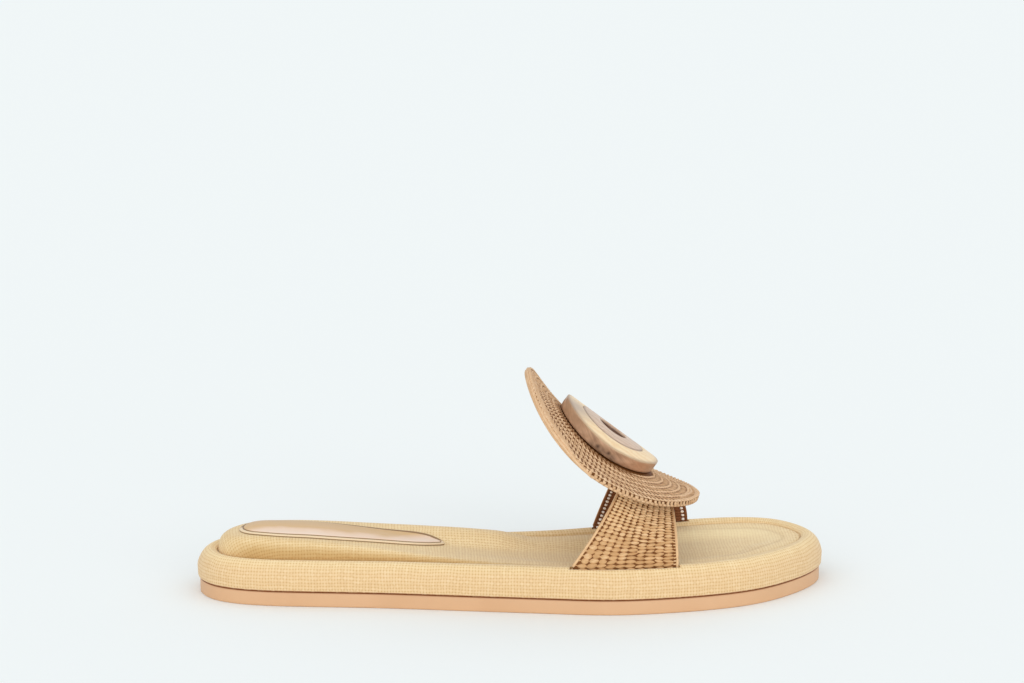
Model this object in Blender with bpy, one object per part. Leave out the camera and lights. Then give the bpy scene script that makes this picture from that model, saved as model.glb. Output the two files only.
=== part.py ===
"""Right-foot slip-on mule: a flat platform sole wrapped in woven fabric, a padded footbed with a leather heel
patch, one arched raffia strap, and a raffia rosette that carries a two-part wooden medallion.

Lengths are in millimetres and angles in radians until mesh_object() scales each mesh to metres.
X runs from the heel to the toe, Y to the inner (medial) side of the foot, Z up from the floor."""

import math

import bpy
import numpy as np
from mathutils import Euler, Vector
from mathutils.bvhtree import BVHTree

MM = 0.001
GAP = 0.3  # between pieces that touch

# Plan outline of the sole: distance along the foot, then how far each side reaches from the centre line.
HEEL_TIP = (-131.0, 1.7)
TOE_TIP = (131.0, 12.5)
OUTLINE_COLUMNS = ("station", "lateral", "medial")
OUTLINE = [
    (-124.0, 15.8, 19.2),
    (-111.0, 23.4, 27.0),
    (-89.0, 27.6, 31.0),
    (-55.0, 31.2, 28.9),
    (-15.0, 37.6, 24.8),
    (15.0, 42.3, 26.6),
    (38.0, 45.2, 32.2),
    (62.0, 42.9, 39.3),
    (84.0, 37.4, 44.2),
    (102.0, 28.8, 45.2),
    (115.0, 17.5, 41.2),
    (124.0, 6.2, 32.6),
]
STEPS_PER_STATION = 4

# How a table by station is smoothed: the samples along the foot, and how many on each side are averaged.
TABLE_SAMPLES = 200
SMOOTHING_REACH = 6

# Outsole: a flat slab under the wrapped platform.
OUTSOLE_TOP = 6.1
OUTSOLE_INSET = 1.0
OUTSOLE_ROUNDING = 0.7

# Midsole: the wrapped platform, a tray whose rounded rim stands round the footbed.
MIDSOLE_BOTTOM = OUTSOLE_TOP + GAP
RECESS_FLOOR = 10.5
CREST_HEEL, CREST_TOE = 18.5, 19.2
CREST_INSET = 5.0
LIP_DROP = 2.0  # from the crest down to the inner edge of the rim
RIM_COLUMNS = ("station", "lateral", "medial")
RIM_WIDTH = [
    (-131.0, 8.3, 8.3),
    (-93.0, 8.3, 8.3),
    (-59.0, 9.6, 8.6),
    (-5.0, 10.8, 9.2),
    (70.0, 10.6, 8.8),
    (110.0, 10.4, 8.6),
    (131.0, 8.9, 8.9),
]

# Footbed: heights of its top at the two shoulders and along the middle.
FOOTBED_BOTTOM = RECESS_FLOOR + GAP
FOOTBED_COLUMNS = ("station", "lateral", "middle", "medial")
FOOTBED = [
    (-119.0, 24.8, 26.0, 24.8),
    (-105.0, 26.2, 27.0, 26.2),
    (-85.0, 25.2, 26.2, 25.6),
    (-60.0, 22.6, 23.4, 24.6),
    (-40.0, 20.4, 20.9, 24.1),
    (-22.0, 18.9, 18.4, 23.4),
    (-4.0, 17.8, 16.6, 21.7),
    (8.0, 17.5, 15.4, 18.0),
    (24.0, 17.4, 14.3, 17.5),
    (45.0, 17.4, 13.9, 17.4),
    (95.0, 17.9, 15.3, 17.5),
    (119.0, 18.1, 16.7, 17.7),
]
SHOULDER_RUN, SHOULDER_RUN_PER_RISE, SHOULDER_POWER = 2.0, 0.5, 2.2
EDGE_BAND = 6.0  # border inside the footbed's edge, before the dish
DISH_RUN = 13.0
SPINE_END = 26.0  # how far the middle line of a pad stays from its ends

# Heel patch: a teardrop of leather on the footbed.
PATCH_HEEL, PATCH_TIP = (-113.4, 0.5), (-28.2, -1.6)
PATCH_OUTLINE_COLUMNS = ("station", "lateral", "medial")
PATCH_OUTLINE = [
    (-109.0, 7.4, 9.4),
    (-100.0, 11.0, 11.8),
    (-86.0, 11.8, 11.5),
    (-70.0, 11.0, 9.7),
    (-52.0, 9.7, 6.8),
    (-38.0, 7.9, 4.9),
    (-31.5, 5.0, 2.2),
]
PATCH_STEPS_PER_STATION = 3
PATCH_SPINE_END = 6.0
PATCH_THICKNESS = 0.9

# Strap: one arched band whose two ends drop into slots in the rim.
STRAP_THICKNESS = 2.3
STRAP_INSET = 4.2  # of its outer face from the sole's outline
STRAP_BASE = 18.8  # where the arch springs from
STRAP_FOOT = RECESS_FLOOR + GAP
ABOVE_RIM = 5.0  # how far the slot's cutter stands clear
UNDER_ROSETTE = 0.5  # between the strap's crown and the rosette on the middle line
STRAP_COLUMNS = ("edge", "lateral", "medial", "under_rosette", "lean_power")
STRAP_EDGES = [
    ("back", 22.3, 34.4, 13.0, 1.0),
    ("front", 67.0, 76.0, 35.5, 2.0),
]
STRAP_COLUMNS_ACROSS = 5
STRAP_STEPS = 24

# Rosette and medallion share one tilted seat on the strap.
SEAT = (38.5, -1.4, 63.9)
SEAT_TILT = math.radians(36.4)
SEAT_ROLL = math.radians(-1.0)  # medial side a little lower
BEND_RADIUS = 78.0  # they curve over the foot like a roof tile
BEND_TURN = math.radians(-5.0)  # the ridge of that bend points a little to the lateral side
ROSETTE_RADIUS = 44.7
ROSETTE_THICKNESS = 3.0
ROSETTE_FORWARD = 1.2  # of the medallion
FLARE_FROM, FLARE_LIFT, FLARE_POWER = 23.5, 5.6, 1.65
MEDALLION_RADIUS = 23.3
MEDALLION_THICKNESS = 5.4
MEDALLION_CHAMFER = 0.5
INLAY_RADIUS = 15.0
HOLE_RADIUS = 6.7
ROUND_STEPS = 44


# ---------------------------------------------------------------- meshes


def mesh_object(name, points, faces, material):
    """One closed mesh object from points in millimetres."""
    mesh = bpy.data.meshes.new(name)
    mesh.from_pydata([Vector(p) * MM for p in points], [], faces)
    mesh.validate()
    mesh.materials.append(material)
    mesh.shade_smooth()
    mesh.set_sharp_from_angle(angle=math.radians(40))
    obj = bpy.data.objects.new(name, mesh)
    bpy.context.scene.collection.objects.link(obj)
    return obj


def bands(rings, count, closed=True):
    """Quads between successive rings of points, numbered ring after ring."""
    faces = []
    for ring in range(rings - 1):
        for i in range(count if closed else count - 1):
            j = (i + 1) % count
            faces.append((ring * count + i, ring * count + j, (ring + 1) * count + j, (ring + 1) * count + i))
    return faces


def swept_solid(name, rings, material):
    """A solid through successive closed rings, capped at both ends."""
    count = len(rings[0])
    faces = bands(len(rings), count)
    faces.append(tuple(reversed(range(count))))
    faces.append(tuple((len(rings) - 1) * count + i for i in range(count)))
    return mesh_object(name, np.concatenate(rings), faces, material)


def new_material(name, color, roughness, metallic=0.0):
    made = bpy.data.materials.new(name)
    made.use_nodes = True
    shader = made.node_tree.nodes["Principled BSDF"]
    shader.inputs["Base Color"].default_value = (*color, 1.0)
    shader.inputs["Roughness"].default_value = roughness
    shader.inputs["Metallic"].default_value = metallic
    return made


# ---------------------------------------------------------------- plan curves


def closed_spline(points, steps):
    """A smooth closed curve through the points: a periodic cubic spline by chord length."""
    here = np.array(points, float)
    after = np.roll(here, -1, axis=0)
    chord = np.linalg.norm(after - here, axis=1)
    count = len(here)
    system = np.zeros((count, count))
    for i in range(count):
        system[i, i - 1] = chord[i - 1]
        system[i, i] = 2 * (chord[i - 1] + chord[i])
        system[i, (i + 1) % count] = chord[i]
    slope = (after - here) / chord[:, None]
    bend = np.linalg.solve(system, 6 * (slope - np.roll(slope, 1, axis=0)))
    curve = []
    for i in range(count):
        for step in range(steps):
            b = step / steps
            a = 1 - b
            pull = (a**3 - a) * bend[i] + (b**3 - b) * bend[(i + 1) % count]
            curve.append(a * here[i] + b * after[i] + chord[i] ** 2 / 6 * pull)
    return np.array(curve)


def plan_curve(heel_tip, table, toe_tip, steps):
    """A closed plan, from its heel tip along the lateral side to its toe tip, and back along the other."""
    lateral = [(x, -reach) for x, reach, _ in table]
    medial = [(x, reach) for x, _, reach in reversed(table)]
    return closed_spline([heel_tip, *lateral, toe_tip, *medial], steps)


def inward(curve):
    """Unit vectors that point into a closed curve that runs counterclockwise."""
    along = np.roll(curve, -1, axis=0) - np.roll(curve, 1, axis=0)
    along /= np.linalg.norm(along, axis=1)[:, None]
    return np.stack([-along[:, 1], along[:, 0]], axis=1)


PLAN = plan_curve(HEEL_TIP, OUTLINE, TOE_TIP, STEPS_PER_STATION)
PLAN_INWARD = inward(PLAN)
HALF = len(PLAN) // 2
LATERAL_SIDE = np.arange(len(PLAN)) <= HALF


def by_station(table, x, column):
    """A table's column, smoothly interpolated along the foot."""
    stations = [row[0] for row in table]
    values = [row[column] for row in table]
    fine = np.linspace(stations[0], stations[-1], TABLE_SAMPLES)
    window = np.hanning(2 * SMOOTHING_REACH + 3)[1:-1]
    padded = np.pad(np.interp(fine, stations, values), SMOOTHING_REACH, mode="edge")
    return np.interp(x, fine, np.convolve(padded, window / window.sum(), "valid"))


def inset_ring(inset, height):
    """The sole's outline moved inwards, at one height or at a height for each point."""
    plan = PLAN + PLAN_INWARD * np.reshape(inset * np.ones(len(PLAN)), (-1, 1))
    return np.column_stack([plan, height * np.ones(len(PLAN))])


def rim_width():
    x = PLAN[:, 0]
    return np.where(LATERAL_SIDE, by_station(RIM_WIDTH, x, 1), by_station(RIM_WIDTH, x, 2))


def crest_height():
    share = (PLAN[:, 0] - HEEL_TIP[0]) / (TOE_TIP[0] - HEEL_TIP[0])
    return CREST_HEEL + (CREST_TOE - CREST_HEEL) * share


def outline_reach(x, side):
    """Where the outline lies at distance x along the foot: side -1 is lateral, +1 is medial."""
    points = PLAN[: HALF + 1] if side < 0 else PLAN[HALF:][::-1]
    return np.interp(x, points[:, 0], points[:, 1])


# ---------------------------------------------------------------- sole


def make_outsole(rubber):
    r = OUTSOLE_ROUNDING
    # Inset from the outline, and height.
    rows = [
        (OUTSOLE_INSET + r, 0.0),
        (OUTSOLE_INSET, r),
        (OUTSOLE_INSET, OUTSOLE_TOP - r),
        (OUTSOLE_INSET + r / 2, OUTSOLE_TOP),
    ]
    return swept_solid("outsole", [inset_ring(inset, z) for inset, z in rows], rubber)


def make_midsole(fabric):
    """The tray: up its outer wall, over the crest of the rim and down to the recess floor."""
    crest = crest_height()
    rise = crest - MIDSOLE_BOTTOM
    width = rim_width()
    # Inset from the outline, and height.
    rows = [
        (2.0, MIDSOLE_BOTTOM),
        (0.7, MIDSOLE_BOTTOM + 0.4),
        (0.0, MIDSOLE_BOTTOM + 0.25 * rise),
        (0.0, MIDSOLE_BOTTOM + 0.46 * rise),
        (1.0, MIDSOLE_BOTTOM + 0.7 * rise),
        (2.7, MIDSOLE_BOTTOM + 0.89 * rise),
        (CREST_INSET, crest),
        (width - 1.6, crest - 0.35 * LIP_DROP),
        (width, crest - LIP_DROP),
        (width, RECESS_FLOOR),
    ]
    midsole = swept_solid("midsole", [inset_ring(inset, z) for inset, z in rows], fabric)
    for turn, name in ((0, "slot_cutter_lateral"), (math.pi, "slot_cutter_medial")):
        cutter = make_slot_cutter(name, turn, fabric)
        cut = midsole.modifiers.new(name, "BOOLEAN")
        cut.operation = "DIFFERENCE"
        cut.solver = "EXACT"
        cut.object = cutter
    return midsole


def make_slot_cutter(name, turn, any_material):
    """The pocket in the rim that one end of the strap drops into, with room all round it."""
    plan = strap_ring(turn, room=GAP)
    rings = []
    for height in (RECESS_FLOOR, STRAP_BASE + ABOVE_RIM):
        rings.append(np.column_stack([plan[:, :2], height * np.ones(len(plan))]))
    if turn > 0:
        rings.reverse()
    cutter = swept_solid(name, rings, any_material)
    cutter.hide_render = True
    cutter.display_type = "WIRE"
    return cutter


# ---------------------------------------------------------------- footbed


def spine_of(ring, end):
    """For each point of a closed ring, the point it faces of a middle line that is shorter at both ends."""
    count = len(ring)
    middle = (ring + np.roll(ring[::-1], 1, axis=0)) / 2
    ends = (ring[0, 0] + end, ring[count // 2, 0] - end)
    line = middle[: count // 2 + 1]
    keep = np.clip(middle[:, 0], *ends)
    return np.column_stack([keep, np.interp(keep, line[:, 0], line[:, 1])])


def footbed_top(x, lateral_share, depth, lip):
    """Height of the footbed's top at a depth inside its edge.

    lateral_share is 1 on the lateral side and 0 on the medial side."""
    side = lateral_share * by_station(FOOTBED, x, 1) + (1 - lateral_share) * by_station(FOOTBED, x, 3)
    middle = by_station(FOOTBED, x, 2)
    run = SHOULDER_RUN + SHOULDER_RUN_PER_RISE * (side - lip)
    roll = np.clip(depth / run, 0, 1)
    shoulder = lip + (side - lip) * (1 - (1 - roll) ** SHOULDER_POWER) ** (1 / SHOULDER_POWER)
    share = np.clip((depth - EDGE_BAND) / DISH_RUN, 0, 1)
    return shoulder + (middle - side) * share * share * (3 - 2 * share)


def make_footbed(fabric):
    lip = crest_height() - LIP_DROP - 0.2
    edge = PLAN + PLAN_INWARD * (rim_width() + GAP)[:, None]
    spine = spine_of(edge, SPINE_END)
    reach = np.linalg.norm(spine - edge, axis=1)
    lateral = footbed_side_share()
    rings = [np.column_stack([edge, FOOTBED_BOTTOM * np.ones(len(edge))])]
    for depth in (0.0, 1.0, 3.5, EDGE_BAND, 10.0, 14.0):
        at = edge + (spine - edge) * (depth / reach)[:, None]
        rings.append(np.column_stack([at, footbed_top(at[:, 0], lateral, depth, lip)]))
    height = footbed_top(spine[:, 0], 0.5, EDGE_BAND + DISH_RUN, lip)
    return pad_solid("footbed", rings, [np.column_stack([spine, height])], fabric)


def footbed_side_share():
    """1 along the lateral side, 0 along the medial side, blended round the heel and the toe."""
    around = np.sin(2 * math.pi * np.arange(len(PLAN)) / len(PLAN))
    return np.clip(0.5 + 1.1 * around, 0, 1)


def pad_solid(name, rings, spines, any_material):
    """A pad of closed rings, whose top is closed along a middle line.

    spines holds that line and, unless the pad has a flat bottom, the line that closes its underside."""
    count = len(rings[0])
    half = count // 2
    points = list(np.concatenate(rings))
    faces = bands(len(rings), count)
    for spine, last, top in zip(spines, (len(rings) - 1, 0), (True, False)):
        same = merged_runs(spine[: half + 1], len(points))
        points += list(spine[: half + 1])
        for i in range(count):
            j = (i + 1) % count
            a, b = same[min(i, count - i)], same[min(j, count - j)]
            face = (last * count + i, last * count + j, b, a)
            if a == b:
                face = face[:3]
            faces.append(face if top else tuple(reversed(face)))
    if len(spines) == 1:
        faces.append(tuple(reversed(range(count))))
    used = sorted({index for face in faces for index in face})
    renumber = {old: new for new, old in enumerate(used)}
    faces = [tuple(renumber[index] for index in face) for face in faces]
    return mesh_object(name, [points[index] for index in used], faces, any_material)


def merged_runs(line, start):
    """Point numbers along a line, counted from start, that map each run of equal points to its first one."""
    same = [start]
    for i in range(1, len(line)):
        repeats = np.allclose(line[i], line[same[-1] - start], atol=1e-6)
        same.append(same[-1] if repeats else start + i)
    return same


# ---------------------------------------------------------------- heel patch


def height_on(surface, x, y):
    """Height of a surface straight below a point high above it."""
    high = 100.0
    hit = surface.ray_cast(Vector((x, y, high)) * MM, Vector((0, 0, -1)))[0]
    return hit.z / MM


def make_heel_patch(leather, footbed):
    """A thin teardrop that follows the footbed's top."""
    points = [vertex.co for vertex in footbed.data.vertices]
    surface = BVHTree.FromPolygons(points, [face.vertices for face in footbed.data.polygons])
    edge = plan_curve(PATCH_HEEL, PATCH_OUTLINE, PATCH_TIP, PATCH_STEPS_PER_STATION)
    spine = spine_of(edge, PATCH_SPINE_END)

    def ring(inward_share, over):
        at = edge + (spine - edge) * inward_share
        height = [height_on(surface, *point) + GAP + over for point in at]
        return np.column_stack([at, height])

    t = PATCH_THICKNESS
    # How far inward each ring lies, as a share of the way to the middle line, and how far over the footbed.
    rows = [(0.6, 0), (0.3, 0), (0, 0), (0, 0.6 * t), (0.06, t), (0.3, t), (0.6, t)]
    return pad_solid("heel_patch", [ring(*row) for row in rows], [ring(1, t), ring(1, 0)], leather)


# ---------------------------------------------------------------- strap


def seat_point(x, height):
    """X and Z in the shoe's frame of a point on the seat's middle line."""
    across, up = math.sin(SEAT_TILT), math.cos(SEAT_TILT)
    return SEAT[0] + x * up + height * across, SEAT[2] - x * across + height * up


def rosette_underside(x):
    """Height over the seat of the rosette's underside on the seat's middle line."""
    out = x - ROSETTE_FORWARD
    return rosette_lift(out) - ROSETTE_THICKNESS - (out * math.sin(BEND_TURN)) ** 2 / (2 * BEND_RADIUS)


def strap_face(v, turn):
    """The strap's outer face: v is 0 at its back edge and 1 at its front, turn runs 0 to pi over the arch."""
    back, front = STRAP_EDGES
    lateral_x, medial_x, under, power = (back[i] + (front[i] - back[i]) * v for i in range(1, 5))
    lateral_y = outline_reach(lateral_x, -1) + STRAP_INSET
    medial_y = outline_reach(medial_x, 1) - STRAP_INSET
    apex_x, apex_z = seat_point(under, rosette_underside(under) - UNDER_ROSETTE)
    base_x = lateral_x if turn < math.pi / 2 else medial_x
    lean = math.sin(turn) ** power
    return np.array(
        [
            base_x + (apex_x - base_x) * lean,
            (lateral_y + medial_y) / 2 - (medial_y - lateral_y) / 2 * math.cos(turn),
            STRAP_BASE + (apex_z - STRAP_BASE) * math.sin(turn),
        ]
    )


def strap_layer(v, turn, depth):
    """A point under the strap's outer face, at a depth through its thickness."""
    small = 1e-3
    across = strap_face(v + small, turn) - strap_face(v - small, turn)
    along = strap_face(v, min(turn + small, math.pi)) - strap_face(v, max(turn - small, 0))
    normal = np.cross(along, across)
    return strap_face(v, turn) + normal / np.linalg.norm(normal) * depth


def strap_ring(turn, room=0.0):
    """One closed section of the strap, grown by some room on every side."""
    edge = room / (STRAP_EDGES[1][1] - STRAP_EDGES[0][1])
    across = np.linspace(-edge, 1 + edge, STRAP_COLUMNS_ACROSS)
    outer = [strap_layer(v, turn, -room) for v in across]
    inner = [strap_layer(v, turn, STRAP_THICKNESS + room) for v in across[::-1]]
    return np.array(outer + inner)


def make_strap(raffia):
    """The arch, with both ends run straight down into the rim."""
    rings = [strap_ring(turn) for turn in np.linspace(0, math.pi, STRAP_STEPS + 1)]
    feet = [rings[0].copy(), rings[-1].copy()]
    for foot in feet:
        foot[:, 2] = STRAP_FOOT
    return swept_solid("strap", [feet[0], *rings, feet[1]], raffia)


# ---------------------------------------------------------------- rosette and medallion


def rosette_lift(radius):
    """How far the rosette's free border flares up."""
    out = max(0.0, abs(radius) - FLARE_FROM) / (ROSETTE_RADIUS - FLARE_FROM)
    return FLARE_LIFT * out**FLARE_POWER


def tile_bend(x, y, z):
    """Bends a flat piece over the foot, round an axis along X below it."""
    angle = y / BEND_RADIUS
    return x, (BEND_RADIUS + z) * math.sin(angle), (BEND_RADIUS + z) * math.cos(angle) - BEND_RADIUS


def turned_solid(name, profile, any_material, closed):
    """A profile of (radius, height) turned round Z, then bent. An open one starts and ends on the axis."""
    rings = []
    for radius, height in profile if closed else profile[1:-1]:
        for step in range(ROUND_STEPS):
            angle = 2 * math.pi * step / ROUND_STEPS
            rings.append(tile_bend(radius * math.cos(angle), radius * math.sin(angle), height))
    count = len(rings) // ROUND_STEPS
    faces = bands(count, ROUND_STEPS)
    if closed:
        last = (count - 1) * ROUND_STEPS
        for i in range(ROUND_STEPS):
            j = (i + 1) % ROUND_STEPS
            faces.append((last + i, last + j, j, i))
    else:
        top = len(rings)
        rings += [(0, 0, profile[0][1]), (0, 0, profile[-1][1])]
        last = (count - 1) * ROUND_STEPS
        for i in range(ROUND_STEPS):
            j = (i + 1) % ROUND_STEPS
            faces.append((top, j, i))
            faces.append((top + 1, last + i, last + j))
    return mesh_object(name, rings, faces, any_material)


def make_rosette(raffia):
    radii = (10.0, 18.0, FLARE_FROM, 29.0, 34.5, 39.5, 42.7)
    top = [(radius, rosette_lift(radius)) for radius in radii]
    rim = [(ROSETTE_RADIUS, rosette_lift(ROSETTE_RADIUS) - ROSETTE_THICKNESS / 2)]
    below = [(radius, rosette_lift(radius) - ROSETTE_THICKNESS) for radius in reversed(radii)]
    profile = [(0, 0), *top, *rim, *below, (0, -ROSETTE_THICKNESS)]
    profile.reverse()
    return turned_solid("rosette", profile, raffia, closed=False)


def make_wooden_ring(name, outer, inner, wood):
    """A flat ring with broken edges, lying just over the rosette."""
    c, low, high = MEDALLION_CHAMFER, GAP, GAP + MEDALLION_THICKNESS
    profile = [
        (inner, low),
        (outer, low),
        (outer, high - c),
        (outer - c, high),
        (inner + c, high),
        (inner, high - c),
    ]
    return turned_solid(name, profile, wood, closed=True)


# ---------------------------------------------------------------- assembly


def clear_scene():
    for obj in list(bpy.data.objects):
        bpy.data.objects.remove(obj)


def main():
    clear_scene()
    rubber = new_material("outsole_rubber", (0.76, 0.46, 0.25), 0.55)
    fabric = new_material("woven_fabric", (0.86, 0.68, 0.38), 0.85)
    leather = new_material("patch_leather", (0.80, 0.62, 0.50), 0.4)
    raffia = new_material("raffia", (0.62, 0.36, 0.17), 0.75)
    light_wood = new_material("light_wood", (0.90, 0.66, 0.33), 0.45)
    mauve_wood = new_material("mauve_wood", (0.60, 0.43, 0.36), 0.35)

    make_outsole(rubber)
    make_midsole(fabric)
    make_heel_patch(leather, make_footbed(fabric))
    make_strap(raffia)

    seat = bpy.data.objects.new("rosette_seat", None)
    bpy.context.scene.collection.objects.link(seat)
    seat.location = Vector(SEAT) * MM
    seat.rotation_euler = Euler((SEAT_ROLL, SEAT_TILT, 0))
    rosette = make_rosette(raffia)
    rosette.location.x = ROSETTE_FORWARD * MM
    for piece in (
        rosette,
        make_wooden_ring("medallion_ring", MEDALLION_RADIUS, INLAY_RADIUS + GAP, light_wood),
        make_wooden_ring("medallion_inlay", INLAY_RADIUS, HOLE_RADIUS, mauve_wood),
    ):
        piece.parent = seat
        piece.rotation_euler.z = BEND_TURN


main()
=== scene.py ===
"""The looks of a right-foot mule: a fabric-wrapped platform, a padded footbed, a leather heel patch, a
crocheted raffia strap and rosette, and a wooden medallion.

Lengths are in millimetres and angles in radians until new_piece() scales each mesh to metres. X runs from the
heel to the toe, Y to the inner (medial) side of the foot, Z up from the floor."""

import math

import bpy
import numpy as np
from mathutils import Euler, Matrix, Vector
from mathutils.bvhtree import BVHTree


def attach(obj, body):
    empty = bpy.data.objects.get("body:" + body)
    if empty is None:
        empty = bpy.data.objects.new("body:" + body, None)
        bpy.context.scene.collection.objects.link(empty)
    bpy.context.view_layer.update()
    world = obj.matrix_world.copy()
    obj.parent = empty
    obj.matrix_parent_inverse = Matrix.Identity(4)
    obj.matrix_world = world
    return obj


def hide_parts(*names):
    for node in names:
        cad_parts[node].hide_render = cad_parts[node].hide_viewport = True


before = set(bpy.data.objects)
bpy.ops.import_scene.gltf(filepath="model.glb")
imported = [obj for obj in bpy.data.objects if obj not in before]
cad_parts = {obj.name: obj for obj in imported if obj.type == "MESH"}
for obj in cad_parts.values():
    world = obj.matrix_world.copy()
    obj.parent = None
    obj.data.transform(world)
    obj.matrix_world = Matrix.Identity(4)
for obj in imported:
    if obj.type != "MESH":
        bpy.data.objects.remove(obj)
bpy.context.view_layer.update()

MM = 0.001
GAP = 0.3
RANDOM = np.random.default_rng(11)

# ---------- sizes, as in the frame

# Plan outline of the sole: distance along the foot, then how far each side reaches from the centre line.
HEEL_TIP = (-131.0, 1.7)
TOE_TIP = (131.0, 12.5)
OUTLINE = [
    (-124.0, 15.8, 19.2),
    (-111.0, 23.4, 27.0),
    (-89.0, 27.6, 31.0),
    (-55.0, 31.2, 28.9),
    (-15.0, 37.6, 24.8),
    (15.0, 42.3, 26.6),
    (38.0, 45.2, 32.2),
    (62.0, 42.9, 39.3),
    (84.0, 37.4, 44.2),
    (102.0, 28.8, 45.2),
    (115.0, 17.5, 41.2),
    (124.0, 6.2, 32.6),
]
STEPS_PER_STATION = 16
TABLE_SAMPLES = 200
SMOOTHING_REACH = 6

OUTSOLE_TOP = 6.1
OUTSOLE_INSET = 1.0
OUTSOLE_ROUNDING = 0.7

MIDSOLE_BOTTOM = OUTSOLE_TOP + GAP
RECESS_FLOOR = 10.5
CREST_HEEL, CREST_TOE = 18.5, 19.2
CREST_INSET = 5.0
# How far the rim's inner lip lies below its crest, along the foot.
LIP_DROP = [(-131.0, 1.0), (-121.0, 1.1), (-110.0, 2.0), (60.0, 2.0), (100.0, 1.4), (131.0, 1.2)]
# Width of the rim on the lateral and on the medial side, along the foot.
RIM_WIDTH = [
    (-131.0, 8.3, 8.3),
    (-93.0, 8.3, 8.3),
    (-59.0, 9.6, 8.6),
    (-5.0, 10.8, 9.2),
    (70.0, 10.6, 8.8),
    (110.0, 10.4, 8.6),
    (131.0, 8.9, 8.9),
]

FOOTBED_BOTTOM = RECESS_FLOOR + GAP
# Height of the footbed's top on the lateral side, in the middle and on the medial side, along the foot.
FOOTBED = [
    (-119.0, 24.8, 26.0, 24.8),
    (-105.0, 26.2, 27.0, 26.2),
    (-85.0, 25.2, 26.2, 25.6),
    (-60.0, 22.6, 23.4, 24.6),
    (-40.0, 20.4, 20.9, 24.1),
    (-22.0, 18.9, 18.4, 23.4),
    (-4.0, 17.8, 16.6, 21.7),
    (8.0, 17.5, 15.4, 18.0),
    (24.0, 17.4, 14.3, 17.5),
    (45.0, 17.4, 13.9, 17.4),
    (95.0, 17.9, 15.3, 17.5),
    (119.0, 18.1, 16.7, 17.7),
]
SHOULDER_RUN, SHOULDER_RUN_PER_RISE, SHOULDER_POWER = 2.0, 0.5, 2.2
EDGE_BAND = 6.0
DISH_RUN = 13.0
SPINE_END = 26.0
PUCKER_PITCH = 3.3
TOE_FROM, HEEL_FROM, TIP_RUN = 70.0, -60.0, 25.0  # where the padding's toe and heel start, and how gradually
TOE_CREASE = 7.5  # from the edge to the crease round the toe's dish

PATCH_HEEL, PATCH_TIP = (-113.4, 0.5), (-28.2, -1.6)
PATCH_OUTLINE = [
    (-109.0, 7.4, 9.4),
    (-100.0, 11.0, 11.8),
    (-86.0, 11.8, 11.5),
    (-70.0, 11.0, 9.7),
    (-52.0, 9.7, 6.8),
    (-38.0, 7.9, 4.9),
    (-31.5, 5.0, 2.2),
]
PATCH_STEPS_PER_STATION = 9
PATCH_SPINE_END = 6.0
PATCH_THICKNESS = 0.9
PATCH_WIDTH = 24.0
PATCH_SEAM_SHADE_WIDTH = 1.4
PATCH_BORDER = 2.0  # from the edge to the inner side of its fold
PATCH_INNER_ROWS = 7
PATCH_HIGHLIGHT_FROM, PATCH_HIGHLIGHT_RUN = -52.0, 16.0  # where its painted highlight starts to widen, and for how long

STRAP_THICKNESS = 2.3
STRAP_MIDDLE = STRAP_THICKNESS / 2
STRAP_INSET = 4.2
STRAP_BASE = 18.8
STRAP_FOOT = RECESS_FLOOR + GAP
ABOVE_RIM = 5.0
UNDER_ROSETTE = 0.5
# Of each edge: where its lateral and its medial foot lie along the shoe, where it crosses the seat's middle
# line, and the power of its lean towards there.
STRAP_BACK = (22.3, 34.4, 13.0, 1.0)
STRAP_FRONT = (67.0, 76.0, 35.5, 2.0)
STRAP_WIDTH = STRAP_FRONT[0] - STRAP_BACK[0]
ARCH_TURNS = np.linspace(0, math.pi, 241)

SEAT = (38.5, -1.4, 63.9)
SEAT_TILT = math.radians(36.4)
SEAT_ROLL = math.radians(-1.0)
BEND_RADIUS = 78.0
BEND_TURN = math.radians(-5.0)
SEAT_TURN = np.array(Euler((SEAT_ROLL, SEAT_TILT, 0)).to_matrix())
RIDGE_TURN = np.array(Euler((0, 0, BEND_TURN)).to_matrix())
ROSETTE_RADIUS = 44.7
ROSETTE_THICKNESS = 3.0
ROSETTE_FORWARD = 1.2
FLARE_FROM, FLARE_LIFT, FLARE_POWER = 23.5, 5.6, 1.65
MEDALLION_RADIUS = 23.3
MEDALLION_THICKNESS = 5.4
INLAY_RADIUS = 15.0
HOLE_RADIUS = 6.7

# ---------- sizes of what only shows here

WEAVE_PITCH = (1.25, 1.4)  # from thread to thread, along and across
STITCH_PITCH = (1.8, 1.3)  # between the strap's rows of stitches, at its feet and at the top of its arch
EDGE_PITCH = 1.8  # between the dots of thread on its inner face
STRAP_COLUMN_COUNT = 10
EDGE_CORD_RADIUS = 0.62
INNER_STITCH_INSET = 2.3
EDGE_HOLE = 1.1  # between the strap's edge cord and its first column
STRAP_MARGIN = (2 * EDGE_CORD_RADIUS + EDGE_HOLE) / STRAP_WIDTH
PALE_CLIMB = 26.0  # up the strap from its base to its palest stitches, painted lighter against the rosette's shade
ROUND_PITCH = 3.9  # between the rosette's rounds
ROUND_STITCH_PITCH = 2.2
ROUND_SLANT = math.radians(63)
CORD_RADIUS = 0.45
RIM_HALF_WIDTH = 0.62
STRAND_RADIUS = 0.62
CORE_DEPTH = 0.36  # of the rosette's dark middle under its stitches' tops
INLAY_GROWTH = 0.18  # of the inlay's radius, for a fine line between the two rings
# Of each knot on the medallion's side: degrees round it, height, size and strength.
KNOTS = [
    (263, 2.3, 1.5, 1.0),
    (276, 2.6, 1.3, 1.0),
    (257, 1.2, 2.8, 0.5),
    (268, 1.2, 3.2, 0.55),
    (281, 1.0, 2.4, 0.5),
]


# ---------- meshes


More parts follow.
